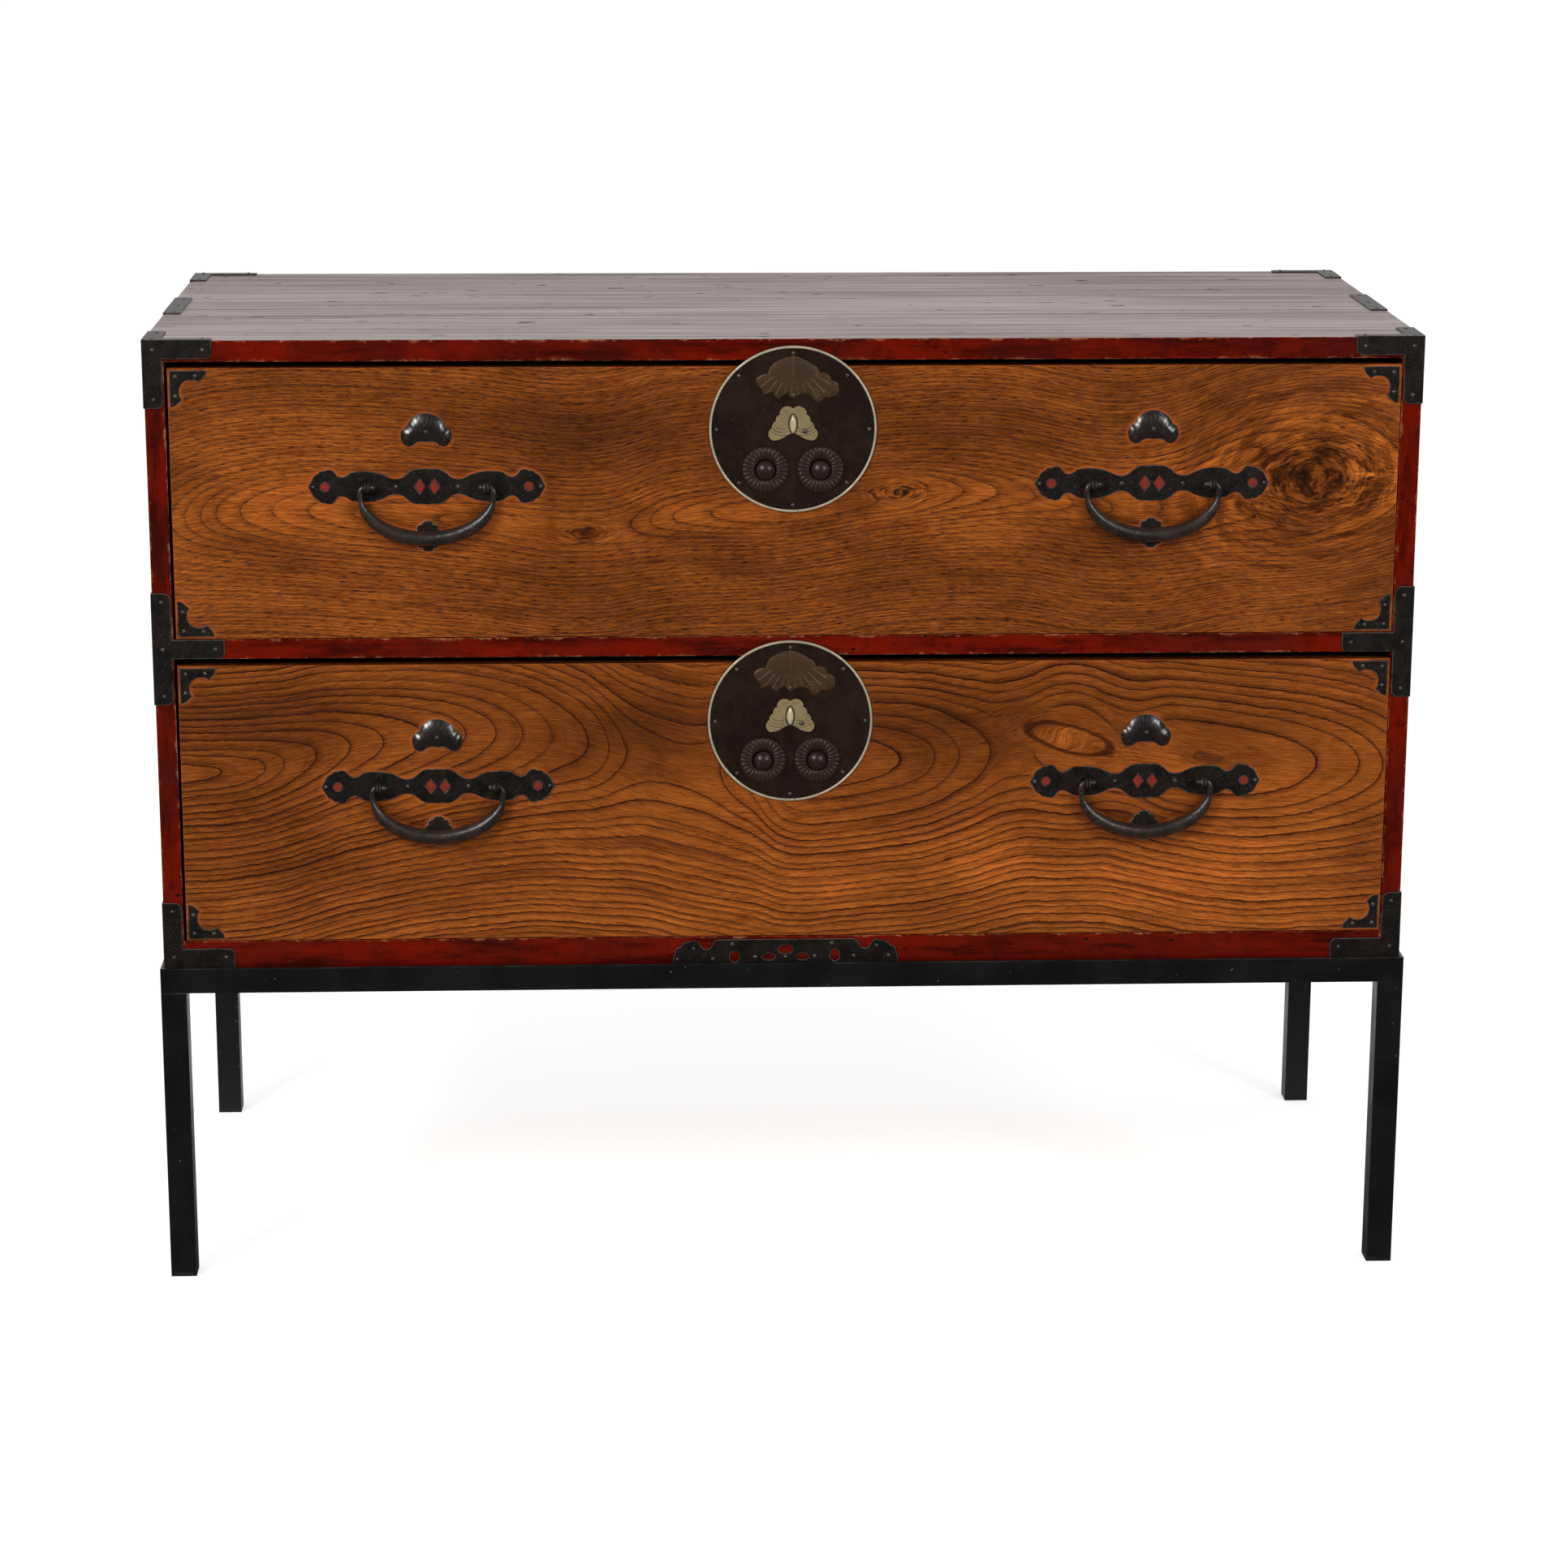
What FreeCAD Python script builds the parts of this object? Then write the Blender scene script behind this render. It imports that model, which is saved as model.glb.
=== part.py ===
import FreeCAD, Part
import math
import os
from types import SimpleNamespace

import Sketcher
from FreeCAD import Placement, Rotation, Vector

# Low two-drawer Japanese chest on a welded steel stand, in millimetres.
# +X is to the right, +Y to the back and +Z up. The origin is on the floor, under the middle of
# everything that stands out in front and behind.

# ---------------------------------------------------------------------------------------------
# Driving dimensions
# ---------------------------------------------------------------------------------------------

SIZES = (
    # case
    ("case_width", 1210, "outside width of the case"),
    ("case_depth", 506, "outside depth of the case"),
    ("top_thickness", 20, "top board"),
    ("side_thickness", 19, "side boards"),
    ("back_thickness", 9, "planks of the back"),
    ("back_planks", 4, "number of planks in the back"),
    ("plank_gap", 0.4, "shrinkage gap between the planks"),
    ("upper_opening", 266.5, "height of the upper drawer's opening"),
    ("lower_opening", 281.5, "height of the lower drawer's opening"),
    ("mid_rail_height", 19, "rail between the drawers"),
    ("mid_rail_depth", 60, "depth of that rail, front to back"),
    ("base_rail_height", 47.5, "rail under the lower drawer"),
    ("base_rail_depth", 22, "depth of that rail, front to back"),
    ("shelf_thickness", 9, "dust board between the drawers"),
    ("bottom_thickness", 15, "bottom board of the case"),
    ("cleat_width", 16, "strips under the dust board and the bottom board"),
    ("cleat_height", 10, "height of those strips"),
    ("stop_width", 40, "blocks that stop the drawers"),
    ("stop_depth", 27.2, "those blocks, front to back"),
    ("stop_height", 18, "height of those blocks"),
    ("stop_inset", 120, "from the inside of the case to a block"),
    ("finger_start", 95, "front of the case to the side board's finger"),
    ("finger_length", 298, "length of that finger"),
    # drawers
    ("drawer_gap", 2, "gap at each end of a drawer front"),
    ("drawer_shift", 1, "drawers sit this far to the right of the middle"),
    ("front_lift", 1, "gap under a drawer front"),
    ("rest_gap", 0.3, "clearance between pieces that slide or rest"),
    ("face_proud", 0.5, "drawer fronts stand this far out of the case"),
    ("upper_top_gap", 6, "gap over the upper drawer front"),
    ("lower_top_gap", 7, "gap over the lower drawer front"),
    ("front_thickness", 20, "drawer fronts"),
    ("rabbet_depth", 10, "how far the drawer box sits into the front"),
    ("box_inset", 1, "drawer box narrower than the front, at each end"),
    ("drawer_side_thickness", 13, "drawer sides"),
    ("drawer_back_thickness", 13, "drawer back"),
    ("drawer_bottom_thickness", 9, "drawer bottom"),
    ("side_drop", 6, "drawer sides lower than the front's top edge"),
    # sheet iron and nails
    ("iron_thickness", 1.2, "sheet of the handle plates, corner plates and caps"),
    ("nail_head_radius", 1.9, "domed nail head"),
    ("nail_head_height", 1.3, "height of that head"),
    ("nail_shank_radius", 0.8, "nail shank"),
    ("nail_length", 7, "nail shank under the head"),
    # round lock
    ("upper_lock_middle", 5.6, "lock plate, right of the middle of the case"),
    ("lower_lock_middle", 3.7, "lock plate, right of the middle of the case"),
    ("upper_lock_drop", 59.9, "top of the front to the middle of the lock plate"),
    ("lower_lock_drop", 57.7, "top of the front to the middle of the lock plate"),
    ("lock_radius", 79.5, "outside of the lock's rim"),
    ("rim_width", 2.2, "brass rim"),
    ("rim_wall", 1.8, "straight side of the rim, above the drawer front"),
    ("rim_arch", 0.9, "arch of the rim above its straight sides"),
    ("lock_thickness", 1.5, "lock plate"),
    ("rim_nail_circle", 72.6, "radius of the ring of nails in the lock plate"),
    ("rim_nails", 8, "number of nails in that ring"),
    ("leaf_thickness", 1.1, "leaf ornament"),
    ("leaf_half_width", 40, "leaf ornament, half its width"),
    ("leaf_height", 44.5, "leaf ornament"),
    ("leaf_rise", 25.5, "middle of the lock plate to the leaf's lowest point"),
    ("rosette_radius", 20.7, "outside of a rosette"),
    ("rosette_band", 11.4, "rosette, from its well to its outside"),
    ("rosette_wall", 1, "straight side of a rosette above the lock plate"),
    ("rosette_arch", 2.6, "arch of a rosette above its straight sides"),
    ("rosette_half_span", 26.2, "middle of the lock plate to a rosette, sideways"),
    ("rosette_fall", 38.5, "middle of the lock plate down to a rosette"),
    ("button_radius", 8.9, "dome in a rosette"),
    ("button_skirt", 1, "straight wall under the dome"),
    ("button_dome", 5, "height of the dome"),
    ("button_travel", 3, "how far a dome is pushed in"),
    ("stem_radius", 3, "button's stem"),
    ("stem_clearance", 0.08, "stem in the lock plate"),
    ("stem_bore_clearance", 0.4, "stem in the wood"),
    ("stem_reach", 6, "stem behind the drawer front"),
    ("keyhole_width", 3.6, "keyhole"),
    ("keyhole_height", 9, "keyhole"),
    ("keyhole_left", 8, "keyhole, left of the middle of the lock plate"),
    ("cover_half_width", 23.3, "butterfly cover, half its width"),
    ("cover_height", 32.5, "butterfly cover"),
    ("cover_fall", 10.4, "middle of the lock plate to the cover's lowest point"),
    ("cover_thickness", 1.2, "butterfly cover"),
    ("cover_body_width", 7, "butterfly's body"),
    ("cover_body_height", 17.5, "butterfly's body"),
    ("cover_body_dome", 2.4, "butterfly's body, above its wings"),
    ("rivet_right", 11.3, "middle of the lock plate to the cover's rivet"),
    ("rivet_fall", 1.8, "middle of the lock plate down to the cover's rivet"),
    ("rivet_radius", 1.3, "rivet's shank"),
    ("rivet_clearance", 0.05, "rivet in the cover"),
    ("rivet_head_radius", 2.4, "rivet's head"),
    ("rivet_head_height", 1.6, "rivet's head"),
    ("lock_case_width", 100, "iron housing behind the front"),
    ("lock_case_rise", 34, "housing above the middle of the lock plate"),
    ("lock_case_fall", 50, "housing below the middle of the lock plate"),
    ("lock_case_depth", 16, "housing, front to back"),
    ("lock_case_wall", 1.5, "sheet of the housing"),
    ("bolt_width", 24, "lock bolt"),
    ("bolt_thickness", 5, "lock bolt"),
    ("bolt_tail", 8, "bolt below the middle of the lock plate"),
    ("bolt_setback", 5, "back of the front to the bolt"),
    ("bolt_drop", 0.5, "bolt's rest below the top of the front"),
    ("bolt_clearance", 0.3, "bolt in the housing's slot"),
    ("mortise_clearance", 2, "around the bolt in a rail's mortise"),
    ("mortise_depth", 10, "mortise for the bolt in a rail"),
    # handles
    ("upper_left_handle", 241.5, "left end of the front to the upper left handle"),
    ("upper_right_handle", 236, "right end of the front to the upper right handle"),
    ("lower_left_handle", 246.4, "left end of the front to the lower left handle"),
    ("lower_right_handle", 235.5, "right end of the front to the lower right handle"),
    ("upper_handle_drop", 113.2, "top of the front to the middle of the handle plates"),
    ("lower_handle_drop", 120, "top of the front to the middle of the handle plates"),
    ("handle_plate_length", 224.6, "handle plate"),
    ("handle_plate_height", 34.6, "handle plate at its middle"),
    ("eyelet_radius", 4.4, "round hole near each end of a handle plate"),
    ("eyelet_out", 96.5, "middle of the plate to that hole"),
    ("diamond_width", 10.5, "diamond cut-outs in a handle plate"),
    ("diamond_height", 15, "diamond cut-outs in a handle plate"),
    ("diamond_out", 6.9, "middle of the plate to a diamond's middle"),
    ("plate_nail_inner", 29.3, "middle of the plate to its inner nails"),
    ("plate_nail_outer", 107.8, "middle of the plate to its outer nails"),
    ("post_out", 56.5, "middle of the plate to a post"),
    ("post_radius", 1.7, "post's shank"),
    ("post_clearance", 0.1, "shank in its hole"),
    ("eye_radius", 4.6, "post's eye"),
    ("eye_width", 3.5, "post's eye"),
    ("clinch_length", 16, "post's bent tails behind the front"),
    ("clinch_thickness", 1.6, "post's bent tails"),
    ("bail_width", 132, "bail, over its arms"),
    ("bail_fall", 56, "bail, from its pivot to its lowest point"),
    ("bail_mid_diameter", 14, "bail at its middle"),
    ("bail_arm_radius", 2.9, "bail where its arms start"),
    ("bail_shoulder", 8, "bail's pivot down to the start of its curve"),
    ("bail_pin_radius", 2.2, "bail's pin"),
    ("pin_clearance", 0.06, "pin in the post's eye"),
    ("bail_knob_radius", 3.1, "knob at the end of a pin"),
    ("upper_boss_rise", 53, "handle plate up to the boss, upper drawer"),
    ("lower_boss_rise", 49.3, "handle plate up to the boss, lower drawer"),
    ("upper_striker_fall", 48, "handle plate down to the striker plate, upper drawer"),
    ("lower_striker_fall", 44.8, "handle plate down to the striker plate, lower drawer"),
    ("boss_width", 49, "domed boss"),
    ("boss_height", 30, "domed boss"),
    ("boss_dome", 5.2, "domed boss, at its middle"),
    ("boss_edge", 0.9, "domed boss, at its ends"),
    ("striker_width", 26, "striker plate"),
    ("striker_height", 29, "striker plate"),
    ("corner_plate_size", 34.6, "drawer's corner plates"),
    ("corner_plate_inset", 2, "edge of the front to a corner plate"),
    # ironwork of the case
    ("cap_front_arm", 64, "corner cap along the front and back edges"),
    ("cap_side_arm", 58, "corner cap along the side edges"),
    ("cap_drop", 64, "corner cap down the corner"),
    ("cap_front_band", 17, "corner cap's horizontal band on the front"),
    ("cap_top_band", 10, "corner cap's band along the top's front edge"),
    ("stile_band", 17.5, "bands on the front of the side boards"),
    ("side_band", 16, "bands on the sides of the case and along the top's ends"),
    ("band_corner", 6, "rounded corner at the end of a band"),
    ("tee_height", 109, "tee plate, top to bottom"),
    ("tee_arm", 67.5, "tee plate along the mid rail"),
    ("tee_band", 18.5, "tee plate's arm"),
    ("base_corner_arm", 68, "base corner plate along the rail"),
    ("base_corner_height", 86.5, "base corner plate up the corner"),
    ("base_corner_band", 40, "base corner plate's arm"),
    ("strap_start", 188, "front of the case to the edge strap"),
    ("strap_length", 118, "edge strap"),
    ("base_plate_width", 220, "plate in the middle of the base rail"),
    ("base_plate_height", 44.5, "plate in the middle of the base rail"),
    ("case_nail_margin", 8.5, "end of a band to its nail"),
    # stand
    ("leg_height", 293.7, "floor to the underside of the cradle"),
    ("tube_size", 25, "square tube of the legs"),
    ("tube_wall", 2, "wall of that tube"),
    ("foot_thickness", 3, "end plate of a leg"),
    ("angle_size", 25, "angle iron of the cradle"),
    ("angle_thickness", 3, "angle iron of the cradle"),
    ("cradle_side_gap", 1.5, "between the case and the cradle, at the sides"),
    ("cradle_front_gap", 5, "between the case and the cradle, front and back"),
)

doc = FreeCAD.newDocument("TwoDrawerChest")
sheet = doc.addObject("Spreadsheet::Sheet", "Sizes")
for row, (alias, value, note) in enumerate(SIZES, start=1):
    sheet.set(f"A{row}", note)
    sheet.set(f"B{row}", str(value))
    sheet.setAlias(f"B{row}", alias)
doc.recompute()

size = SimpleNamespace(**{alias: float(sheet.get(alias)) for alias, value, note in SIZES})
nodes = {}

# ---------------------------------------------------------------------------------------------
# Places worked out from the sizes
# ---------------------------------------------------------------------------------------------

bail_mid_radius = size.bail_mid_diameter / 2
pivot_standoff = size.iron_thickness + size.rest_gap + bail_mid_radius
handle_reach = size.face_proud + pivot_standoff + bail_mid_radius
cradle_reach = size.cradle_front_gap + size.angle_thickness

case_left = -size.case_width / 2
case_right = size.case_width / 2
case_front = (handle_reach - cradle_reach - size.case_depth) / 2
case_back = case_front + size.case_depth
seat = size.leg_height + size.angle_thickness
lower_floor = seat + size.base_rail_height
lower_ceiling = lower_floor + size.lower_opening
upper_floor = lower_ceiling + size.mid_rail_height
upper_ceiling = upper_floor + size.upper_opening
case_top = upper_ceiling + size.top_thickness
inner_left = case_left + size.side_thickness
inner_right = case_right - size.side_thickness
back_inside = case_back - size.back_thickness
drawer_face = case_front - size.face_proud
drawer_end = back_inside - size.stop_depth - size.rest_gap
front_left = inner_left + size.drawer_gap + size.drawer_shift
front_right = inner_right - size.drawer_gap + size.drawer_shift
box_left = front_left + size.box_inset
box_right = front_right - size.box_inset
bolt_front = drawer_face + size.front_thickness + size.bolt_setback

INNER_WIDTH = "(Sizes.case_width - 2 * Sizes.side_thickness)"
WALL_HEIGHT = (
    "(Sizes.base_rail_height + Sizes.lower_opening + Sizes.mid_rail_height + Sizes.upper_opening)"
)
FRONT_WIDTH = f"({INNER_WIDTH} - 2 * Sizes.drawer_gap)"
BOX_WIDTH = f"({FRONT_WIDTH} - 2 * Sizes.box_inset)"
DRAWER_LENGTH = (
    "(Sizes.case_depth - Sizes.back_thickness + Sizes.face_proud"
    " - Sizes.stop_depth - Sizes.rest_gap)"
)
BOTTOM_DEPTH = f"({DRAWER_LENGTH} - Sizes.front_thickness + Sizes.rabbet_depth)"

DRAWERS = {
    "upper": SimpleNamespace(
        carrier=upper_floor,
        ceiling=upper_ceiling,
        opening=size.upper_opening,
        top_gap=size.upper_top_gap,
        lock_middle=size.upper_lock_middle,
        lock_drop=size.upper_lock_drop,
        left_handle=front_left + size.upper_left_handle,
        right_handle=front_right - size.upper_right_handle,
        handle_drop=size.upper_handle_drop,
        boss_rise=size.upper_boss_rise,
        striker_fall=size.upper_striker_fall,
    ),
    "lower": SimpleNamespace(
        carrier=lower_floor,
        ceiling=lower_ceiling,
        opening=size.lower_opening,
        top_gap=size.lower_top_gap,
        lock_middle=size.lower_lock_middle,
        lock_drop=size.lower_lock_drop,
        left_handle=front_left + size.lower_left_handle,
        right_handle=front_right - size.lower_right_handle,
        handle_drop=size.lower_handle_drop,
        boss_rise=size.lower_boss_rise,
        striker_fall=size.lower_striker_fall,
    ),
}
for drawer in DRAWERS.values():
    drawer.front_bottom = drawer.carrier + size.front_lift
    drawer.front_top = drawer.carrier + drawer.opening - drawer.top_gap
    drawer.lock_centre = Vector(drawer.lock_middle, drawer_face, drawer.front_top - drawer.lock_drop)
    drawer.handle_centres = (
        Vector(drawer.left_handle, drawer_face, drawer.front_top - drawer.handle_drop),
        Vector(drawer.right_handle, drawer_face, drawer.front_top - drawer.handle_drop),
    )

FORWARD = Vector(0, -1, 0)
BACKWARD = Vector(0, 1, 0)
RIGHTWARD = Vector(1, 0, 0)
UPWARD = Vector(0, 0, 1)


# ---------------------------------------------------------------------------------------------
# Shared ways of making pieces
# ---------------------------------------------------------------------------------------------

def bind(item, **expressions):
    """Tie properties of an object to cells of the sheet."""
    for name, text in expressions.items():
        item.setExpression(name, text)


def box(name, length, width, height, corner):
    """Board with its lowest corner at corner."""
    item = doc.addObject("Part::Box", name)
    bind(item, Length=length, Width=width, Height=height)
    item.Placement = Placement(corner, Rotation())
    return item


def rod(name, radius, length, start, direction):
    """Round bar from start along direction."""
    item = doc.addObject("Part::Cylinder", name)
    bind(item, Radius=radius, Height=length)
    item.Placement = Placement(start, Rotation(UPWARD, direction))
    return item


def cap_radius(base_radius, height):
    """Radius of the sphere whose cap has this base and height."""
    return (base_radius ** 2 + height ** 2) / (2 * height)


def dome(name, base_radius, height, base_centre):
    """Spherical cap that bulges forward from base_centre; its sizes are names of cells."""
    item = doc.addObject("Part::Sphere", name)
    sphere = f"((Sizes.{base_radius} ^ 2 + Sizes.{height} ^ 2) / (2 * Sizes.{height}))"
    bind(item, Radius=sphere, Angle1=f"asin(({sphere} - Sizes.{height}) / {sphere})")
    sphere_radius = cap_radius(getattr(size, base_radius), getattr(size, height))
    centre = base_centre + BACKWARD * (sphere_radius - getattr(size, height))
    item.Placement = Placement(centre, Rotation(UPWARD, FORWARD))
    return item


def fuse(name, pieces):
    """One solid from pieces that touch or overlap."""
    item = doc.addObject("Part::MultiFuse", name)
    item.Shapes = pieces
    item.Refine = True
    return item


def cut(name, base, tools):
    """Base with every tool taken out of it."""
    item = doc.addObject("Part::Cut", name)
    item.Base = base
    item.Tool = tools[0] if len(tools) == 1 else fuse(f"{name}_tools", tools)
    return item


def group(name, pieces):
    """Node of separate solids."""
    item = doc.addObject("Part::Compound", name)
    item.Links = pieces
    return item


def mirrored(name, source, middle, normal):
    """Mirror image of a piece about the plane through middle."""
    item = doc.addObject("Part::Mirroring", name)
    item.Source = source
    item.Base = middle
    item.Normal = normal
    return item


def copies(name, master, places):
    """Node with one copy of master at each placement."""
    pieces = []
    for number, place in enumerate(places, start=1):
        piece = group(f"{name}_{number}", [master])
        piece.Placement = place
        pieces.append(piece)
    return group(name, pieces)


def at(spot):
    """Placement that only moves."""
    return Placement(spot, Rotation())


def keep(name, item):
    """Name a finished sub-part."""
    item.Label = name
    nodes[name] = item


def flat_wire(path, width, height):
    """Closed wire in the XZ plane.

    A path is corner, middle, corner, middle ... corner in shares of width and height. A middle
    is a point on the arc between its neighbours, or None for a straight side.
    """
    points = [p and Vector(p[0] * width, 0, p[1] * height) for p in path]
    edges = []
    for start, middle, end in zip(points[:-2:2], points[1:-1:2], points[2::2]):
        edge = Part.Arc(start, middle, end) if middle else Part.LineSegment(start, end)
        edges.append(edge.toShape())
    return Part.Wire(edges)


def reflected(path, across_x, across_z):
    """Path with its signs changed; one change reverses it, so that it still joins up."""
    turned = [p and (-p[0] if across_x else p[0], -p[1] if across_z else p[1]) for p in path]
    return turned if across_x == across_z else turned[::-1]


def all_round(quarter):
    """Whole outline from the quarter that runs from the top to the right."""
    below = reflected(quarter, False, True)
    left_below = reflected(quarter, True, True)
    left = reflected(quarter, True, False)
    return quarter + below[1:] + left_below[1:] + left[1:]


def both_sides(half):
    """Whole outline from the half that runs from the top, by the right, to the bottom."""
    return half + reflected(half, True, False)[1:]


def sheet_plate(name, wire, thickness):
    """Plate cut to a wire, with its back in the wire's plane, and thick towards the front."""
    profile = doc.addObject("Part::Feature", f"{name}_outline")
    profile.Shape = Part.Face(wire)
    plate = doc.addObject("Part::Extrusion", name)
    plate.Base = profile
    plate.DirMode = "Custom"
    plate.Dir = FORWARD
    plate.Solid = True
    bind(plate, LengthFwd=thickness)
    return plate


def body_plane(body, role):
    """One of a body's own origin planes."""
    return next(feature for feature in body.Origin.OriginFeatures if feature.Role == role)


def new_sketch(body, name, role):
    """Sketch on one of a body's own origin planes."""
    sketch = body.newObject("Sketcher::SketchObject", name)
    sketch.AttachmentSupport = [(body_plane(body, role), "")]
    sketch.MapMode = "FlatFace"
    return sketch


def name_size(sketch, name, kind, ends, text):
    """Dimension in a sketch that starts at its size now and follows an expression."""
    if kind == "Radius":
        now = sketch.Geometry[ends[0]].Radius
    else:
        span = sketch.getPoint(*ends[2:]) - sketch.getPoint(*ends[:2])
        now = span.x if kind == "DistanceX" else span.y
    index = sketch.addConstraint(Sketcher.Constraint(kind, *ends, now))
    sketch.renameConstraint(index, name)
    sketch.setExpression(f"Constraints.{name}", text)


def polygon(sketch, corners):
    """Closed run of lines, joined end to end; returns the index of the first."""
    first = sketch.GeometryCount
    count = len(corners)
    for index, corner in enumerate(corners):
        following = corners[(index + 1) % count]
        sketch.addGeometry(Part.LineSegment(Vector(*corner, 0), Vector(*following, 0)), False)
    for index in range(count):
        following = first + (index + 1) % count
        sketch.addConstraint(Sketcher.Constraint("Coincident", first + index, 2, following, 1))
    return first


def pad(body, sketch, name, length):
    """Pad of a sketch, with its length from an expression."""
    feature = body.newObject("PartDesign::Pad", name)
    feature.Profile = sketch
    bind(feature, Length=length)
    return feature


# ---------------------------------------------------------------------------------------------
# Stand
# ---------------------------------------------------------------------------------------------

stand_half_width = size.case_width / 2 + size.cradle_side_gap + size.angle_thickness
stand_front = case_front - cradle_reach
stand_back = case_back + cradle_reach
STAND_WIDTH = "(Sizes.case_width + 2 * (Sizes.cradle_side_gap + Sizes.angle_thickness))"
STAND_DEPTH = "(Sizes.case_depth + 2 * (Sizes.cradle_front_gap + Sizes.angle_thickness))"
LEG_CORNERS = (
    Vector(-stand_half_width, stand_front, 0),
    Vector(stand_half_width - size.tube_size, stand_front, 0),
    Vector(-stand_half_width, stand_back - size.tube_size, 0),
    Vector(stand_half_width - size.tube_size, stand_back - size.tube_size, 0),
)


def square(sketch, name, inset, side):
    """Square that starts inset from the origin in both directions."""
    near = size.tube_wall if inset else 0.0
    far = size.tube_size - near
    first = polygon(sketch, ((near, near), (far, near), (far, far), (near, far)))
    for line in (first, first + 2):
        sketch.addConstraint(Sketcher.Constraint("Horizontal", line))
    for line in (first + 1, first + 3):
        sketch.addConstraint(Sketcher.Constraint("Vertical", line))
    name_size(sketch, f"{name}_width", "DistanceX", (first, 1, first, 2), side)
    name_size(sketch, f"{name}_depth", "DistanceY", (first + 1, 1, first + 1, 2), side)
    if inset:
        name_size(sketch, f"{name}_right", "DistanceX", (-1, 1, first, 1), inset)
        name_size(sketch, f"{name}_back", "DistanceY", (-1, 1, first, 1), inset)
    else:
        sketch.addConstraint(Sketcher.Constraint("Coincident", first, 1, -1, 1))


def leg_tube(name, corner):
    """Square tube from its end plate to the underside of the cradle."""
    body = doc.addObject("PartDesign::Body", name)
    section = new_sketch(body, f"{name}_section", "XY_Plane")
    square(section, "outside", None, "Sizes.tube_size")
    square(section, "inside", "Sizes.tube_wall", "Sizes.tube_size - 2 * Sizes.tube_wall")
    pad(body, section, f"{name}_length", "Sizes.leg_height - Sizes.foot_thickness")
    body.Placement = at(corner + UPWARD * size.foot_thickness)
    return body


def foot_plate(name, corner):
    """End plate that closes a leg."""
    return box(name, "Sizes.tube_size", "Sizes.tube_size", "Sizes.foot_thickness", corner)


def angle_rail(name, length, flange_length, corner, turn):
    """Angle iron along X before it is turned, lip at the front, flange cut back at its ends."""
    lip = box(f"{name}_lip", length, "Sizes.angle_thickness", "Sizes.angle_size", Vector())
    overlap = Vector(0, 0, 0)
    flange = box(
        f"{name}_flange", flange_length, "Sizes.angle_size", "Sizes.angle_thickness", overlap)
    flange.setExpression("Placement.Base.x", f"({length} - {flange_length}) / 2")
    rail = fuse(name, [lip, flange])
    rail.Placement = Placement(corner, Rotation(UPWARD, turn))
    return rail


def make_stand():
    """Four legs with end plates, and the cradle of angle iron on top of them."""
    legs = [leg_tube(f"leg_{n}", corner) for n, corner in enumerate(LEG_CORNERS, start=1)]
    keep("stand_legs", group("stand_legs", legs))
    feet = [foot_plate(f"foot_{n}", corner) for n, corner in enumerate(LEG_CORNERS, start=1)]
    keep("stand_feet", group("stand_feet", feet))
    side_length = f"({STAND_DEPTH} - 2 * Sizes.angle_thickness)"
    side_flange = f"({STAND_DEPTH} - 2 * Sizes.angle_size)"
    side_start = stand_front + size.angle_thickness
    side_end = stand_back - size.angle_thickness
    under = size.leg_height
    rails = [
        angle_rail("front_rail", STAND_WIDTH, STAND_WIDTH,
                   Vector(-stand_half_width, stand_front, under), 0),
        angle_rail("back_rail", STAND_WIDTH, STAND_WIDTH,
                   Vector(stand_half_width, stand_back, under), 180),
        angle_rail("left_rail", side_length, side_flange,
                   Vector(-stand_half_width, side_end, under), -90),
        angle_rail("right_rail", side_length, side_flange,
                   Vector(stand_half_width, side_start, under), 90),
    ]
    keep("stand_cradle", group("stand_cradle", rails))


# ---------------------------------------------------------------------------------------------
# Case
# ---------------------------------------------------------------------------------------------

def side_board(name, left):
    """Side of the case, with the finger that comes up through the top board."""
    wall = box(f"{name}_wall", "Sizes.side_thickness", "Sizes.case_depth", WALL_HEIGHT,
               Vector(left, case_front, seat))
    finger = box(f"{name}_finger", "Sizes.side_thickness", "Sizes.finger_length",
                 "Sizes.top_thickness", Vector(left, case_front + size.finger_start, upper_ceiling))
    keep(name, fuse(name, [wall, finger]))


def bolt_mortise(name, drawer):
    """Hole in a rail's underside that takes the raised bolt."""
    clearance = Vector(size.bolt_width / 2 + size.mortise_clearance, size.mortise_clearance, 0)
    corner = Vector(drawer.lock_middle, bolt_front, drawer.ceiling) - clearance
    return box(name, "Sizes.bolt_width + 2 * Sizes.mortise_clearance",
               "Sizes.bolt_thickness + 2 * Sizes.mortise_clearance", "Sizes.mortise_depth", corner)


def make_top():
    """Top board, notched at both ends and mortised for the upper drawer's bolt."""
    board = box("top_board", "Sizes.case_width", "Sizes.case_depth", "Sizes.top_thickness",
                Vector(case_left, case_front, upper_ceiling))
    notches = [
        box(f"{side}_notch", "Sizes.side_thickness", "Sizes.finger_length", "Sizes.top_thickness",
            Vector(left, case_front + size.finger_start, upper_ceiling))
        for side, left in (("left", case_left), ("right", inner_right))
    ]
    mortise = bolt_mortise("top_mortise", DRAWERS["upper"])
    keep("case_top", cut("case_top", board, notches + [mortise]))


def make_back():
    """Planks that close the back between the sides."""
    count = int(size.back_planks)
    pitch = (upper_ceiling - seat) / count
    planks = [
        box(f"plank_{n + 1}", INNER_WIDTH, "Sizes.back_thickness",
            f"{WALL_HEIGHT} / Sizes.back_planks - Sizes.plank_gap",
            Vector(inner_left, back_inside, seat + n * pitch))
        for n in range(count)
    ]
    keep("back_boards", group("back_boards", planks))


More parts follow.
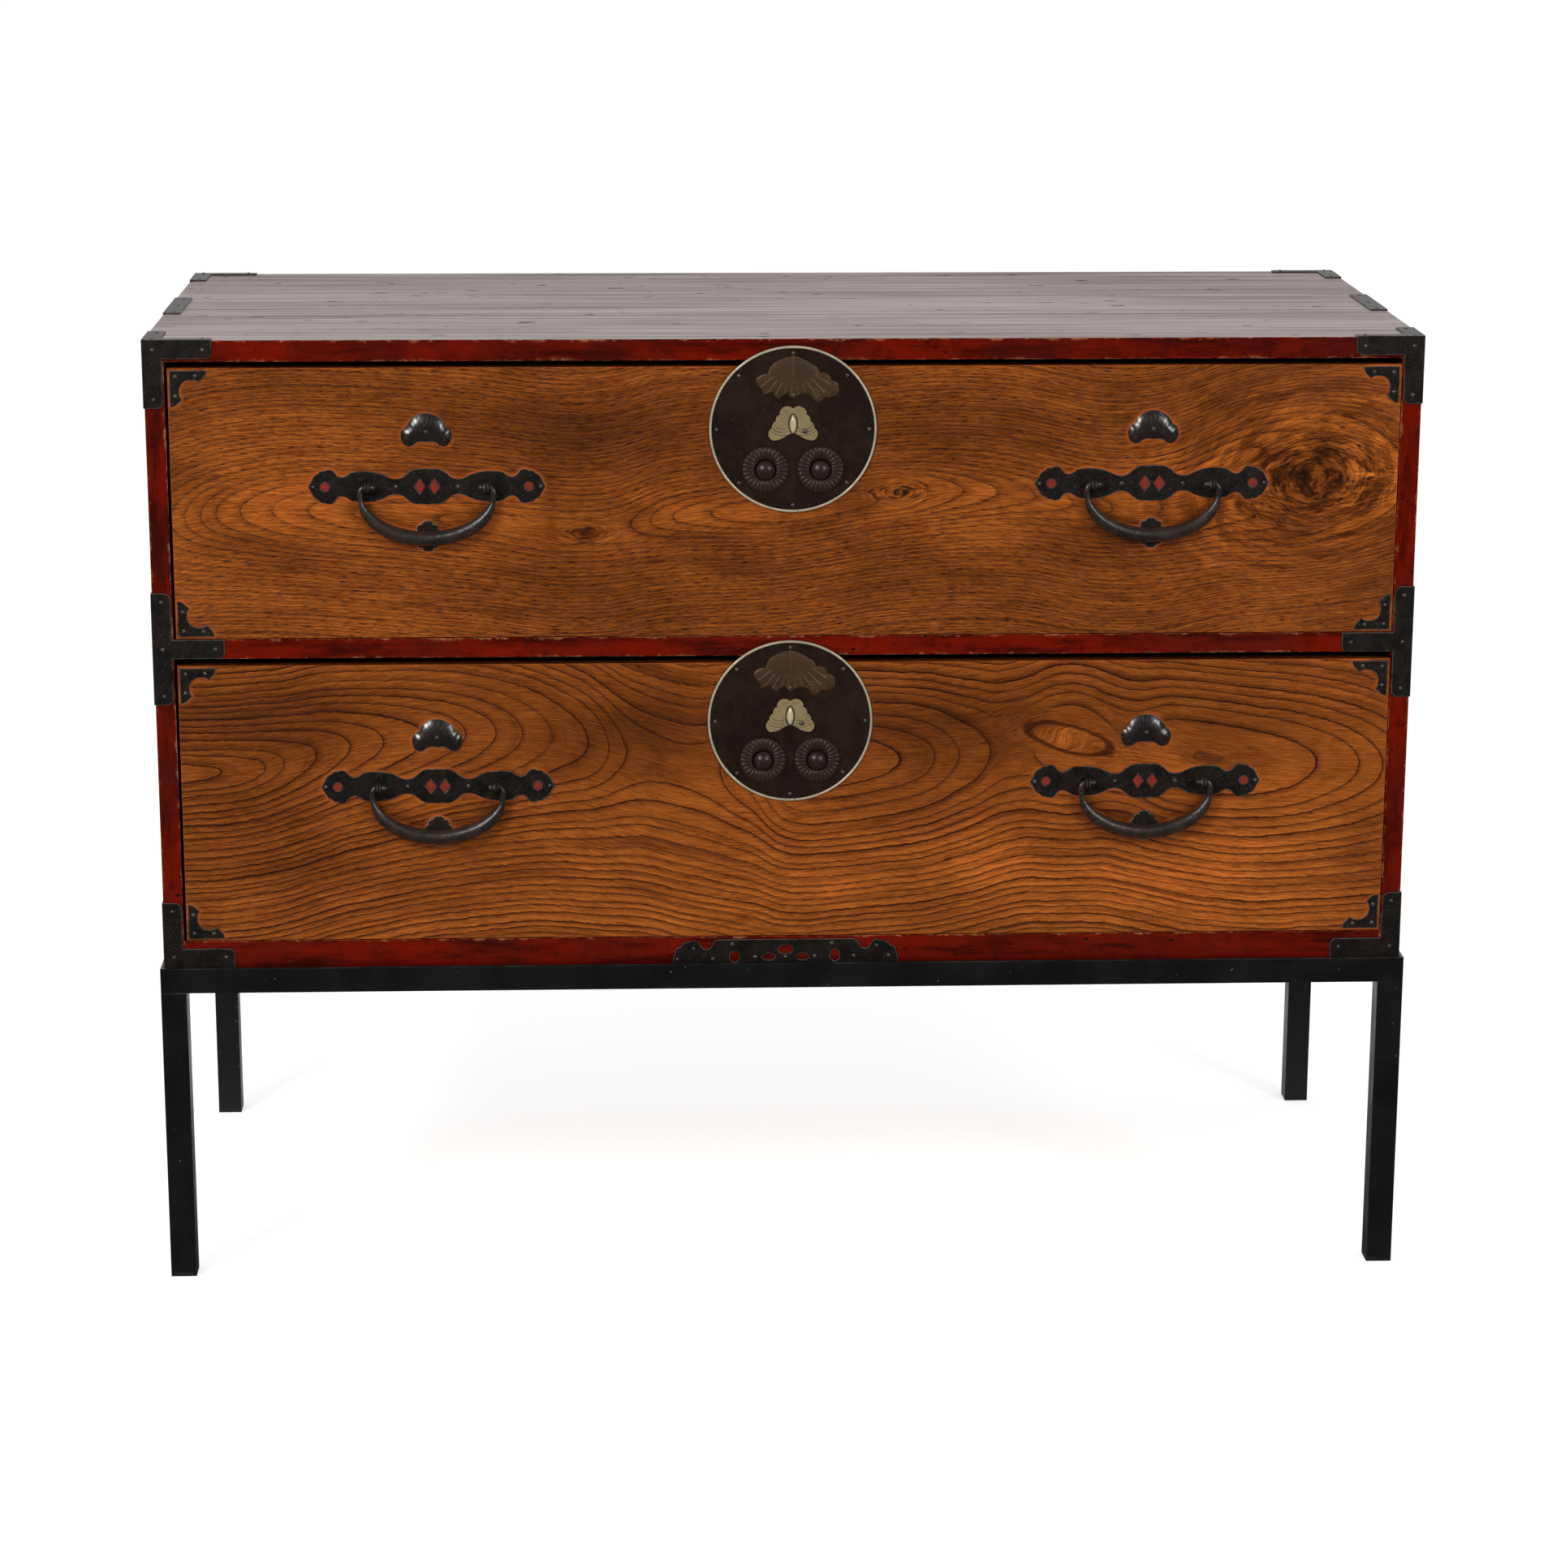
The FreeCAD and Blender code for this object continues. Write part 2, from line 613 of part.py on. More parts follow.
def make_rails_and_boards():
    """Rails at the front and the boards behind them that carry the drawers."""
    rail = box("mid_rail_bar", INNER_WIDTH, "Sizes.mid_rail_depth", "Sizes.mid_rail_height",
               Vector(inner_left, case_front, lower_ceiling))
    keep("mid_rail", cut("mid_rail", rail, [bolt_mortise("rail_mortise", DRAWERS["lower"])]))
    keep("base_rail", box(
        "base_rail", INNER_WIDTH, "Sizes.base_rail_depth", "Sizes.base_rail_height",
        Vector(inner_left, case_front, seat)))
    keep("dust_board", box(
        "dust_board", INNER_WIDTH,
        "Sizes.case_depth - Sizes.mid_rail_depth - Sizes.back_thickness", "Sizes.shelf_thickness",
        Vector(inner_left, case_front + size.mid_rail_depth, upper_floor - size.shelf_thickness)))
    keep("case_bottom", box(
        "case_bottom", INNER_WIDTH,
        "Sizes.case_depth - Sizes.base_rail_depth - Sizes.back_thickness", "Sizes.bottom_thickness",
        Vector(inner_left, case_front + size.base_rail_depth, lower_floor - size.bottom_thickness)))


def make_cleats_and_stops():
    """Strips under the boards, and blocks behind the drawers."""
    pieces = []
    shelves = (
        ("shelf", "Sizes.mid_rail_depth", size.mid_rail_depth, upper_floor - size.shelf_thickness),
        ("bottom", "Sizes.base_rail_depth", size.base_rail_depth, lower_floor - size.bottom_thickness),
    )
    for name, rail_depth, start, underside in shelves:
        for side, left in (("left", inner_left), ("right", inner_right - size.cleat_width)):
            pieces.append(box(
                f"{name}_{side}_cleat", "Sizes.cleat_width",
                f"Sizes.case_depth - Sizes.back_thickness - {rail_depth}", "Sizes.cleat_height",
                Vector(left, case_front + start, underside - size.cleat_height)))
    right_stop = inner_right - size.stop_inset - size.stop_width
    for name, drawer in DRAWERS.items():
        for side, left in (("left", inner_left + size.stop_inset), ("right", right_stop)):
            pieces.append(box(
                f"{name}_{side}_stop", "Sizes.stop_width", "Sizes.stop_depth", "Sizes.stop_height",
                Vector(left, back_inside - size.stop_depth, drawer.carrier)))
    keep("cleats_and_stops", group("cleats_and_stops", pieces))


# ---------------------------------------------------------------------------------------------
# Ironwork of the case
# ---------------------------------------------------------------------------------------------

def band(name, length, height, corner, rounded):
    """Flat band on the front of the case, with the corner it ends in rounded."""
    strip = box(name, length, "Sizes.iron_thickness", height, corner + FORWARD * size.iron_thickness)
    if not rounded:
        return strip
    doc.recompute()
    edges = [
        (index, size.band_corner, size.band_corner)
        for index, edge in enumerate(strip.Shape.Edges, start=1)
        if all((vertex.Point - Vector(rounded.x, vertex.Point.y, rounded.z)).Length < size.rest_gap
               for vertex in edge.Vertexes)
    ]
    soft = doc.addObject("Part::Fillet", f"{name}_rounded")
    soft.Base = strip
    soft.Edges = edges
    return soft


def make_corner_caps():
    """Caps bent round the top corners: built at the front left, then mirrored."""
    corner = Vector(case_left, case_front, case_top)
    sheet_in = Vector(-size.iron_thickness, 0, 0)
    front_low = corner - UPWARD * size.cap_front_band
    wide = band("cap_front_band", "Sizes.cap_front_arm", "Sizes.cap_front_band", front_low,
                Vector(case_left + size.cap_front_arm, 0, front_low.z))
    stile_low = corner - UPWARD * size.cap_drop
    tall = band("cap_stile_band", "Sizes.stile_band", "Sizes.cap_drop", stile_low,
                Vector(case_left + size.stile_band, 0, stile_low.z))
    front_fold = Vector(0, size.iron_thickness, 0)
    pieces = [
        wide,
        tall,
        box("cap_top_front", "Sizes.cap_front_arm", "Sizes.cap_top_band + Sizes.iron_thickness",
            "Sizes.iron_thickness", corner - front_fold),
        box("cap_top_side", "Sizes.side_band + Sizes.iron_thickness",
            "Sizes.cap_side_arm + Sizes.iron_thickness", "Sizes.iron_thickness",
            corner + sheet_in - front_fold),
        box("cap_side_long", "Sizes.iron_thickness", "Sizes.cap_side_arm + Sizes.iron_thickness",
            "Sizes.side_band + Sizes.iron_thickness",
            corner + sheet_in - front_fold - UPWARD * size.side_band),
        box("cap_side_tall", "Sizes.iron_thickness", "Sizes.side_band + Sizes.iron_thickness",
            "Sizes.cap_drop", corner + sheet_in - front_fold - UPWARD * size.cap_drop),
    ]
    front_left = fuse("cap_front_left", pieces)
    middle = Vector(0, (case_front + case_back) / 2, 0)
    front_right = mirrored("cap_front_right", front_left, middle, RIGHTWARD)
    back_left = mirrored("cap_back_left", front_left, middle, BACKWARD)
    back_right = mirrored("cap_back_right", front_right, middle, BACKWARD)
    caps = [front_left, front_right, back_left, back_right]
    keep("top_corner_caps", group("top_corner_caps", caps))


def make_edge_straps():
    """Straps bent over the middle of the top's two ends."""
    corner = Vector(case_left, case_front + size.strap_start, case_top)
    sheet_in = Vector(-size.iron_thickness, 0, 0)
    left = fuse("strap_left", [
        box("strap_top", "Sizes.side_band + Sizes.iron_thickness", "Sizes.strap_length",
            "Sizes.iron_thickness", corner + sheet_in),
        box("strap_side", "Sizes.iron_thickness", "Sizes.strap_length",
            "Sizes.side_band + Sizes.iron_thickness", corner + sheet_in - UPWARD * size.side_band),
    ])
    right = mirrored("strap_right", left, Vector(), RIGHTWARD)
    keep("edge_straps", group("edge_straps", [left, right]))


def make_tee_plates():
    """Plates over the joint of the mid rail with the sides, bent round the edge of the case."""
    middle = (lower_ceiling + upper_floor) / 2
    low = middle - size.tee_height / 2
    high = middle + size.tee_height / 2
    start = Vector(case_left, case_front, 0)
    outer = case_left + size.stile_band
    lower_half = band("tee_lower", "Sizes.stile_band", "Sizes.tee_height / 2",
                      start + UPWARD * low, Vector(outer, 0, low))
    upper_half = band("tee_upper", "Sizes.stile_band", "Sizes.tee_height / 2",
                      start + UPWARD * middle, Vector(outer, 0, high))
    arm_low = middle - size.tee_band / 2
    arm = band("tee_arm", "Sizes.tee_arm", "Sizes.tee_band",
               start + UPWARD * arm_low, Vector(case_left + size.tee_arm, 0, arm_low))
    wrap = box("tee_side", "Sizes.iron_thickness", "Sizes.side_band + Sizes.iron_thickness",
               "Sizes.tee_height",
               Vector(case_left, case_front, low) - Vector(size.iron_thickness, size.iron_thickness, 0))
    left = fuse("tee_left", [lower_half, upper_half, arm, wrap])
    right = mirrored("tee_right", left, Vector(), RIGHTWARD)
    keep("tee_plates", group("tee_plates", [left, right]))


def make_base_corners():
    """Corner plates at the foot of the case: front left, then mirrored to all four corners."""
    start = Vector(case_left, case_front, seat)
    wide = band("base_arm", "Sizes.base_corner_arm", "Sizes.base_corner_band", start,
                Vector(case_left + size.base_corner_arm, 0, seat + size.base_corner_band))
    tall = band("base_stile", "Sizes.stile_band", "Sizes.base_corner_height", start,
                Vector(case_left + size.stile_band, 0, seat + size.base_corner_height))
    wrap = box("base_side", "Sizes.iron_thickness", "Sizes.side_band + Sizes.iron_thickness",
               "Sizes.base_corner_height",
               start - Vector(size.iron_thickness, size.iron_thickness, 0))
    front_left = fuse("base_front_left", [wide, tall, wrap])
    middle = Vector(0, (case_front + case_back) / 2, 0)
    front_right = mirrored("base_front_right", front_left, middle, RIGHTWARD)
    back_left = mirrored("base_back_left", front_left, middle, BACKWARD)
    back_right = mirrored("base_back_right", front_right, middle, BACKWARD)
    corners = [front_left, front_right, back_left, back_right]
    keep("base_corner_plates", group("base_corner_plates", corners))


# Right half of the base plate's outline, from the middle of its top edge down to its foot, in
# shares of half its width and of its height.
BASE_PLATE_HALF = [
    (0, 1), None, (0.6, 1), (0.63, 0.965), (0.657, 0.86), (0.685, 0.79), (0.735, 0.795),
    (0.75, 0.84), (0.766, 0.9), (0.79, 0.97), (0.84, 0.955), (0.9, 0.93), (0.935, 0.84),
    (0.975, 0.79), (0.985, 0.7), (1.0, 0.62), (1.0, 0.5), None, (1.0, 0), None, (0, 0),
]
# Cut-outs of that plate: middle across, middle height, width and height in the same shares.
BASE_PLATE_HOLES = (
    (0, 0.77, 0.14, 0.19), (-0.15, 0.6, 0.12, 0.15), (0.15, 0.6, 0.12, 0.15),
    (-0.455, 0.61, 0.085, 0.26), (0.44, 0.63, 0.085, 0.28),
)


# Nails of the base plate, in shares of half its width and of its height.
BASE_PLATE_NAILS = (
    (-0.475, 0.9), (0.41, 0.9), (-0.82, 0.8), (0.81, 0.85), (-0.965, 0.56), (-0.65, 0.56),
    (-0.27, 0.6), (0.0, 0.6), (0.26, 0.61), (0.61, 0.61), (0.92, 0.61),
)


def oval(centre_x, centre_z, width, height):
    """Closed path of four arcs round a middle."""
    angles = [math.radians(45 * turn) for turn in range(8)]
    ring = [
        (centre_x + width / 2 * math.cos(angle), centre_z + height / 2 * math.sin(angle))
        for angle in angles
    ]
    return ring + [ring[0]]


def make_base_plate():
    """Pierced plate in the middle of the base rail."""
    half_width = size.base_plate_width / 2
    height = size.base_plate_height
    blank = sheet_plate("base_plate_blank", flat_wire(both_sides(BASE_PLATE_HALF), half_width, height),
                        "Sizes.iron_thickness")
    holes = []
    for number, (middle, rise, width, tall) in enumerate(BASE_PLATE_HOLES, start=1):
        wire = flat_wire(oval(middle, rise, width, tall), half_width, height)
        holes.append(sheet_plate(f"base_plate_hole_{number}", wire, "Sizes.iron_thickness"))
    plate = cut("base_centre_plate", blank, holes)
    plate.Placement = at(Vector(0, case_front, seat))
    keep("base_centre_plate", plate)


# ---------------------------------------------------------------------------------------------
# Nails
# ---------------------------------------------------------------------------------------------

def make_nail(name, length):
    """Domed nail: head in front of the XZ plane, shank behind it."""
    head = dome(f"{name}_head", "nail_head_radius", "nail_head_height", Vector())
    shank = rod(f"{name}_shank", "Sizes.nail_shank_radius", length, Vector(), BACKWARD)
    return fuse(name, [head, shank])


def case_nail_places():
    """Placements of the nails in the case's ironwork."""
    sheet_face = case_front - size.iron_thickness
    margin = size.case_nail_margin
    stile = size.stile_band / 2
    middle = (lower_ceiling + upper_floor) / 2
    tee_reach = size.tee_height / 2 - margin
    cap_row = case_top - size.cap_front_band / 2
    base_row = seat + size.base_corner_band - margin
    front_spots = []
    for side in (-1, 1):
        edge = side * size.case_width / 2
        inward = -side
        front_spots += [
            (edge + inward * stile, cap_row),
            (edge + inward * (size.cap_front_arm - margin), cap_row),
            (edge + inward * stile, case_top - size.cap_drop + margin),
            (edge + inward * stile, middle),
            (edge + inward * (size.tee_arm - margin), middle),
            (edge + inward * stile, middle + tee_reach),
            (edge + inward * stile, middle - tee_reach),
            (edge + inward * stile, seat + size.base_corner_height - margin),
            (edge + inward * stile, base_row),
            (edge + inward * (size.base_corner_arm - margin), base_row),
        ]
    half = size.base_plate_width / 2
    tall = size.base_plate_height
    front_spots += [(share * half, seat + rise * tall) for share, rise in BASE_PLATE_NAILS]
    places = [at(Vector(x, sheet_face, z)) for x, z in front_spots]
    down = Rotation(FORWARD, UPWARD)
    roof = case_top + size.iron_thickness
    front_row = case_front + size.cap_top_band / 2
    band_row = size.side_band / 2
    strap_middle = case_front + size.strap_start + size.strap_length / 2
    strap_reach = size.strap_length / 2 - margin
    for side in (-1, 1):
        edge = side * size.case_width / 2
        rows = edge - side * band_row
        for y in (strap_middle - strap_reach, strap_middle, strap_middle + strap_reach):
            places.append(Placement(Vector(rows, y, roof), down))
        for y in (case_front, case_back):
            inward = 1 if y == case_front else -1
            row = y + inward * (front_row - case_front)
            arm_end = edge - side * (size.cap_front_arm - margin)
            places.append(Placement(Vector(rows, y + inward * (size.cap_side_arm - margin), roof), down))
            places.append(Placement(Vector(rows, row, roof), down))
            places.append(Placement(Vector(arm_end, row, roof), down))
    return places


# ---------------------------------------------------------------------------------------------
# Drawer boxes
# ---------------------------------------------------------------------------------------------


def front_height(prefix):
    """Expression for the height of a drawer front."""
    return f"(Sizes.{prefix}_opening - Sizes.{prefix}_top_gap - Sizes.front_lift)"


def make_front(prefix, drawer):
    """Drawer front, rabbeted for the box behind it, and bored for the lock and the handles."""
    name = f"{prefix}_front"
    height = front_height(prefix)
    low = Vector(front_left, drawer_face, drawer.front_bottom)
    lap = BACKWARD * (size.front_thickness - size.rabbet_depth)
    board = box(f"{name}_board", FRONT_WIDTH, "Sizes.front_thickness", height, low)
    end_width = "Sizes.box_inset + Sizes.drawer_side_thickness"
    end_start = front_right - size.box_inset - size.drawer_side_thickness
    foot = ("Sizes.rest_gap + Sizes.drawer_bottom_thickness - Sizes.front_lift")
    tools = [
        box(f"{name}_left_rabbet", end_width, "Sizes.rabbet_depth", height, low + lap),
        box(f"{name}_right_rabbet", end_width, "Sizes.rabbet_depth", height,
            Vector(end_start, low.y, low.z) + lap),
        box(f"{name}_foot_rabbet", FRONT_WIDTH, "Sizes.rabbet_depth", foot, low + lap),
    ]
    for number, centre in enumerate(drawer.handle_centres, start=1):
        for side in (-1, 1):
            tools.append(rod(
                f"{name}_post_hole_{number}_{'left' if side < 0 else 'right'}",
                "Sizes.post_radius + Sizes.post_clearance", "Sizes.front_thickness",
                centre + RIGHTWARD * (side * size.post_out), BACKWARD))
    for spot in stem_spots(drawer):
        tools.append(rod(f"{name}_stem_hole", "Sizes.stem_radius + Sizes.stem_bore_clearance",
                         "Sizes.front_thickness", spot, BACKWARD))
    tools.append(keyhole(f"{name}_keyhole", drawer, "Sizes.front_thickness", 0.0))
    keep(name, cut(name, board, tools))


def stem_spots(drawer):
    """Where the two buttons' axes meet the drawer's face."""
    down = drawer.lock_centre - UPWARD * size.rosette_fall
    return (down - RIGHTWARD * size.rosette_half_span, down + RIGHTWARD * size.rosette_half_span)


def keyhole(name, drawer, depth, forward):
    """Slot for the key, from forward of the drawer's face."""
    corner = drawer.lock_centre + Vector(
        -size.keyhole_left - size.keyhole_width / 2, -forward, -size.keyhole_height / 2)
    return box(name, "Sizes.keyhole_width", depth, "Sizes.keyhole_height", corner)


def make_box(prefix, drawer):
    """Sides, back and bottom of a drawer."""
    start = drawer_face + size.front_thickness - size.rabbet_depth
    under = drawer.carrier + size.rest_gap
    floor = under + size.drawer_bottom_thickness
    side_height = (f"{front_height(prefix)} + Sizes.front_lift - Sizes.rest_gap"
                   " - Sizes.drawer_bottom_thickness - Sizes.side_drop")
    keep(f"{prefix}_bottom", box(
        f"{prefix}_bottom", BOX_WIDTH, BOTTOM_DEPTH, "Sizes.drawer_bottom_thickness",
        Vector(box_left, start, under)))
    sides = [
        box(f"{prefix}_{side}_side", "Sizes.drawer_side_thickness", BOTTOM_DEPTH, side_height,
            Vector(left, start, floor))
        for side, left in (("left", box_left), ("right", box_right - size.drawer_side_thickness))
    ]
    keep(f"{prefix}_sides", group(f"{prefix}_sides", sides))
    back_start = drawer_end - size.drawer_back_thickness
    keep(f"{prefix}_back", box(
        f"{prefix}_back", f"{BOX_WIDTH} - 2 * Sizes.drawer_side_thickness",
        "Sizes.drawer_back_thickness", side_height,
        Vector(box_left + size.drawer_side_thickness, back_start, floor)))


# ---------------------------------------------------------------------------------------------
# Round locks
# ---------------------------------------------------------------------------------------------

# Outline of the leaf from its left tip over the top and back underneath, in shares of half its
# width (from the plate's middle) and of its height (from its lowest point).
LEAF = [
    (-0.891, 0.464), (-0.79, 0.585), (-0.602, 0.61), (-0.53, 0.77), (-0.366, 0.889),
    (-0.19, 0.965), (0.024, 1.0), (0.23, 0.94), (0.416, 0.836), (0.56, 0.75), (0.623, 0.637),
    (0.8, 0.62), (0.888, 0.464), (1.03, 0.43), (1.08, 0.318), (1.065, 0.19), (0.962, 0.133),
    (0.85, 0.105), (0.756, 0.12), (0.68, 0.05), (0.593, 0), (0.51, 0.045), (0.475, 0.106),
    (0.342, 0.18), (0.195, 0.173), (0.09, 0.14), (0.033, 0.08), (-0.06, 0.13), (-0.13, 0.212),
    (-0.23, 0.165), (-0.307, 0.08), (-0.4, 0.12), (-0.462, 0.226), (-0.6, 0.2), (-0.72, 0.159),
    (-0.73, 0.27), (-0.809, 0.345), (-0.86, 0.4), (-0.891, 0.464),
]
# Right half of the butterfly, from between its wings at the top to its tail, in shares of half
# its width and of its height.
BUTTERFLY_HALF = [
    (0, 0.924), (0.27, 0.998), (0.508, 0.887), (0.545, 0.82), (0.518, 0.76), (0.665, 0.69),
    (0.695, 0.56), (0.82, 0.49), (0.863, 0.36), (0.995, 0.24), (0.949, 0.069), (0.85, 0.008),
    (0.721, 0.002), (0.56, 0.025), (0.416, 0.069), (0.28, 0.13), (0.162, 0.178), None,
    (0, 0.2145),
]


def make_lock_plate(prefix, drawer):
    """Round iron plate with the keyhole and the bores of the buttons, and its brass rim."""
    centre = drawer.lock_centre
    disc = rod(f"{prefix}_lock_disc", "Sizes.lock_radius - Sizes.rim_width", "Sizes.lock_thickness",
               centre, FORWARD)
    tools = [keyhole(f"{prefix}_plate_keyhole", drawer, "Sizes.lock_thickness", size.lock_thickness)]
    for spot in stem_spots(drawer):
        tools.append(rod(f"{prefix}_plate_bore", "Sizes.stem_radius + Sizes.stem_clearance",
                         "Sizes.lock_thickness", spot, FORWARD))
    keep(f"{prefix}_lock_plate", cut(f"{prefix}_lock_plate", disc, tools))
    keep(
        f"{prefix}_lock_rim",
        ring(f"{prefix}_lock_rim", "lock_radius", "rim_width", "rim_wall", "rim_arch", centre),
    )


def ring(name, outside, width, wall, arch, centre):
    """Ring round a forward axis with straight walls and an arched face; sizes name cells."""
    outer = getattr(size, outside)
    inner = outer - getattr(size, width)
    straight = getattr(size, wall)
    crown = Vector((inner + outer) / 2, -straight - getattr(size, arch), 0)
    body = doc.addObject("PartDesign::Body", name)
    section = new_sketch(body, f"{name}_section", "XY_Plane")
    corners = [
        Vector(inner, -straight, 0), Vector(inner, 0, 0), Vector(outer, 0, 0),
        Vector(outer, -straight, 0),
    ]
    for start, end in zip(corners[:-1], corners[1:]):
        section.addGeometry(Part.LineSegment(start, end), False)
    arc = section.addGeometry(Part.Arc(corners[3], crown, corners[0]), False)
    arc_outer = 1 if section.getPoint(arc, 1).x > crown.x else 2
    section.addConstraint(Sketcher.Constraint("Coincident", 0, 2, 1, 1))
    section.addConstraint(Sketcher.Constraint("Coincident", 1, 2, 2, 1))
    section.addConstraint(Sketcher.Constraint("Coincident", 2, 2, arc, arc_outer))
    section.addConstraint(Sketcher.Constraint("Coincident", 0, 1, arc, 3 - arc_outer))
    section.addConstraint(Sketcher.Constraint("PointOnObject", 1, 1, -1))
    section.addConstraint(Sketcher.Constraint("Horizontal", 1))
    section.addConstraint(Sketcher.Constraint("Vertical", 0))
    section.addConstraint(Sketcher.Constraint("Vertical", 2))
    section.addConstraint(Sketcher.Constraint("Equal", 0, 2))
    half = f"(Sizes.{width} / 2)"
    name_size(section, "outside", "DistanceX", (-1, 1, 1, 2), f"Sizes.{outside}")
    name_size(section, "width", "DistanceX", (1, 1, 1, 2), f"Sizes.{width}")
    name_size(section, "wall", "DistanceY", (0, 1, 0, 2), f"Sizes.{wall}")
    name_size(section, "arch", "Radius", (arc,),
              f"({half} ^ 2 + Sizes.{arch} ^ 2) / (2 * Sizes.{arch})")
    turned = body.newObject("PartDesign::Revolution", f"{name}_turned")
    turned.Profile = section
    turned.ReferenceAxis = (section, ["V_Axis"])
    turned.Angle = 360
    body.Placement = at(centre)
    return body


def make_ornaments(prefix, drawer):
    """Leaf and rosettes on the lock plate."""
    face = drawer.lock_centre + FORWARD * size.lock_thickness
    leaf = sheet_plate(f"{prefix}_leaf_ornament",
                       flat_wire(LEAF, size.leaf_half_width, size.leaf_height), "Sizes.leaf_thickness")
    leaf.Placement = at(face + UPWARD * size.leaf_rise)
    keep(f"{prefix}_leaf_ornament", leaf)
    rings = [
        ring(f"{prefix}_rosette_{n}", "rosette_radius", "rosette_band", "rosette_wall",
             "rosette_arch", spot + FORWARD * size.lock_thickness)
        for n, spot in enumerate(stem_spots(drawer), start=1)
    ]
    keep(f"{prefix}_rosettes", group(f"{prefix}_rosettes", rings))


def make_buttons(prefix, drawer):
    """Domes in the rosettes, each on a stem that runs through the front into the lock."""
    standoff = size.lock_thickness + size.button_travel + size.rest_gap
    for name, spot in zip(("lock_button", "release_button"), stem_spots(drawer)):
        label = f"{prefix}_{name}"
        base = spot + FORWARD * standoff
        crown = base + FORWARD * size.button_skirt
        keep(label, fuse(label, [
            dome(f"{label}_dome", "button_radius", "button_dome", crown),
            rod(f"{label}_skirt", "Sizes.button_radius", "Sizes.button_skirt", base, FORWARD),
            rod(f"{label}_stem", "Sizes.stem_radius",
                "Sizes.lock_thickness + Sizes.button_travel + Sizes.rest_gap"
                " + Sizes.front_thickness + Sizes.stem_reach", base, BACKWARD),
        ]))


def make_keyhole_cover(prefix, drawer):
    """Butterfly that hangs on one rivet and turns aside from the keyhole."""
    name = f"{prefix}_keyhole_cover"
    gap = size.lock_thickness + size.rest_gap
    foot = drawer.lock_centre + FORWARD * gap - UPWARD * size.cover_fall
    wings = sheet_plate(
        f"{name}_wings",
        flat_wire(both_sides(BUTTERFLY_HALF), size.cover_half_width, size.cover_height),
        "Sizes.cover_thickness")
    wings.Placement = at(foot)
    abdomen = doc.addObject("Part::Ellipsoid", f"{name}_abdomen")
    bind(abdomen, Radius1="Sizes.cover_body_height / 2", Radius2="Sizes.cover_body_width / 2",
         Radius3="Sizes.cover_body_dome + Sizes.cover_thickness")
    body_centre = drawer.lock_centre + FORWARD * gap + UPWARD * (size.cover_height / 2 - size.cover_fall)
    abdomen.Placement = at(body_centre)
    behind = box(f"{name}_behind", "2 * Sizes.cover_half_width", "Sizes.cover_height",
                 "2 * Sizes.cover_height",
                 body_centre - Vector(size.cover_half_width, 0, size.cover_height))
    moth = cut(f"{name}_flat_backed", fuse(f"{name}_moth", [wings, abdomen]), [behind])
    bore = rod(f"{name}_bore", "Sizes.rivet_radius + Sizes.rivet_clearance",
               "2 * Sizes.cover_thickness", rivet_spot(drawer) + FORWARD * size.lock_thickness, FORWARD)
    keep(name, cut(name, moth, [bore]))


def rivet_spot(drawer):
    """Where the rivet's axis meets the drawer's face."""
    return drawer.lock_centre + Vector(size.rivet_right, 0, -size.rivet_fall)


def make_rivet(prefix, drawer):
    """Rivet that carries the keyhole cover."""
    face = rivet_spot(drawer) + FORWARD * size.lock_thickness
    head_base = face + FORWARD * (2 * size.rest_gap + size.cover_thickness)
    shank = rod(f"{prefix}_rivet_shank", "Sizes.rivet_radius",
                "Sizes.cover_thickness + 2 * Sizes.rest_gap", face, FORWARD)
    head = dome(f"{prefix}_rivet_head", "rivet_head_radius", "rivet_head_height", head_base)
    return fuse(f"{prefix}_rivet", [shank, head])


def make_lock_works(prefix, drawer):
    """Housing on the back of the front, and the bolt that slides up out of it."""
    name = f"{prefix}_lock_case"
    wall = size.lock_case_wall
    back_face = drawer.lock_centre + BACKWARD * size.front_thickness
    low = back_face - Vector(size.lock_case_width / 2, 0, size.lock_case_fall)
    height = "Sizes.lock_case_rise + Sizes.lock_case_fall"
    shell = box(f"{name}_shell", "Sizes.lock_case_width", "Sizes.lock_case_depth", height, low)
    hollow = box(f"{name}_hollow", "Sizes.lock_case_width - 2 * Sizes.lock_case_wall",
                 "Sizes.lock_case_depth - Sizes.lock_case_wall",
                 f"{height} - 2 * Sizes.lock_case_wall", low + Vector(wall, 0, wall))
    slot_corner = Vector(
        drawer.lock_middle - size.bolt_width / 2 - size.bolt_clearance,
        bolt_front - size.bolt_clearance,
        drawer.lock_centre.z + size.lock_case_rise - 2 * wall)
    slot = box(f"{name}_slot", "Sizes.bolt_width + 2 * Sizes.bolt_clearance",
               "Sizes.bolt_thickness + 2 * Sizes.bolt_clearance", "3 * Sizes.lock_case_wall",
               slot_corner)
    keep(name, cut(name, shell, [hollow, slot]))
    keep(f"{prefix}_lock_bolt", box(
        f"{prefix}_lock_bolt", "Sizes.bolt_width", "Sizes.bolt_thickness",
        f"Sizes.bolt_tail + Sizes.{prefix}_lock_drop - Sizes.bolt_drop",
        Vector(drawer.lock_middle - size.bolt_width / 2, bolt_front,
               drawer.lock_centre.z - size.bolt_tail)))


# ---------------------------------------------------------------------------------------------
# Handles
# ---------------------------------------------------------------------------------------------

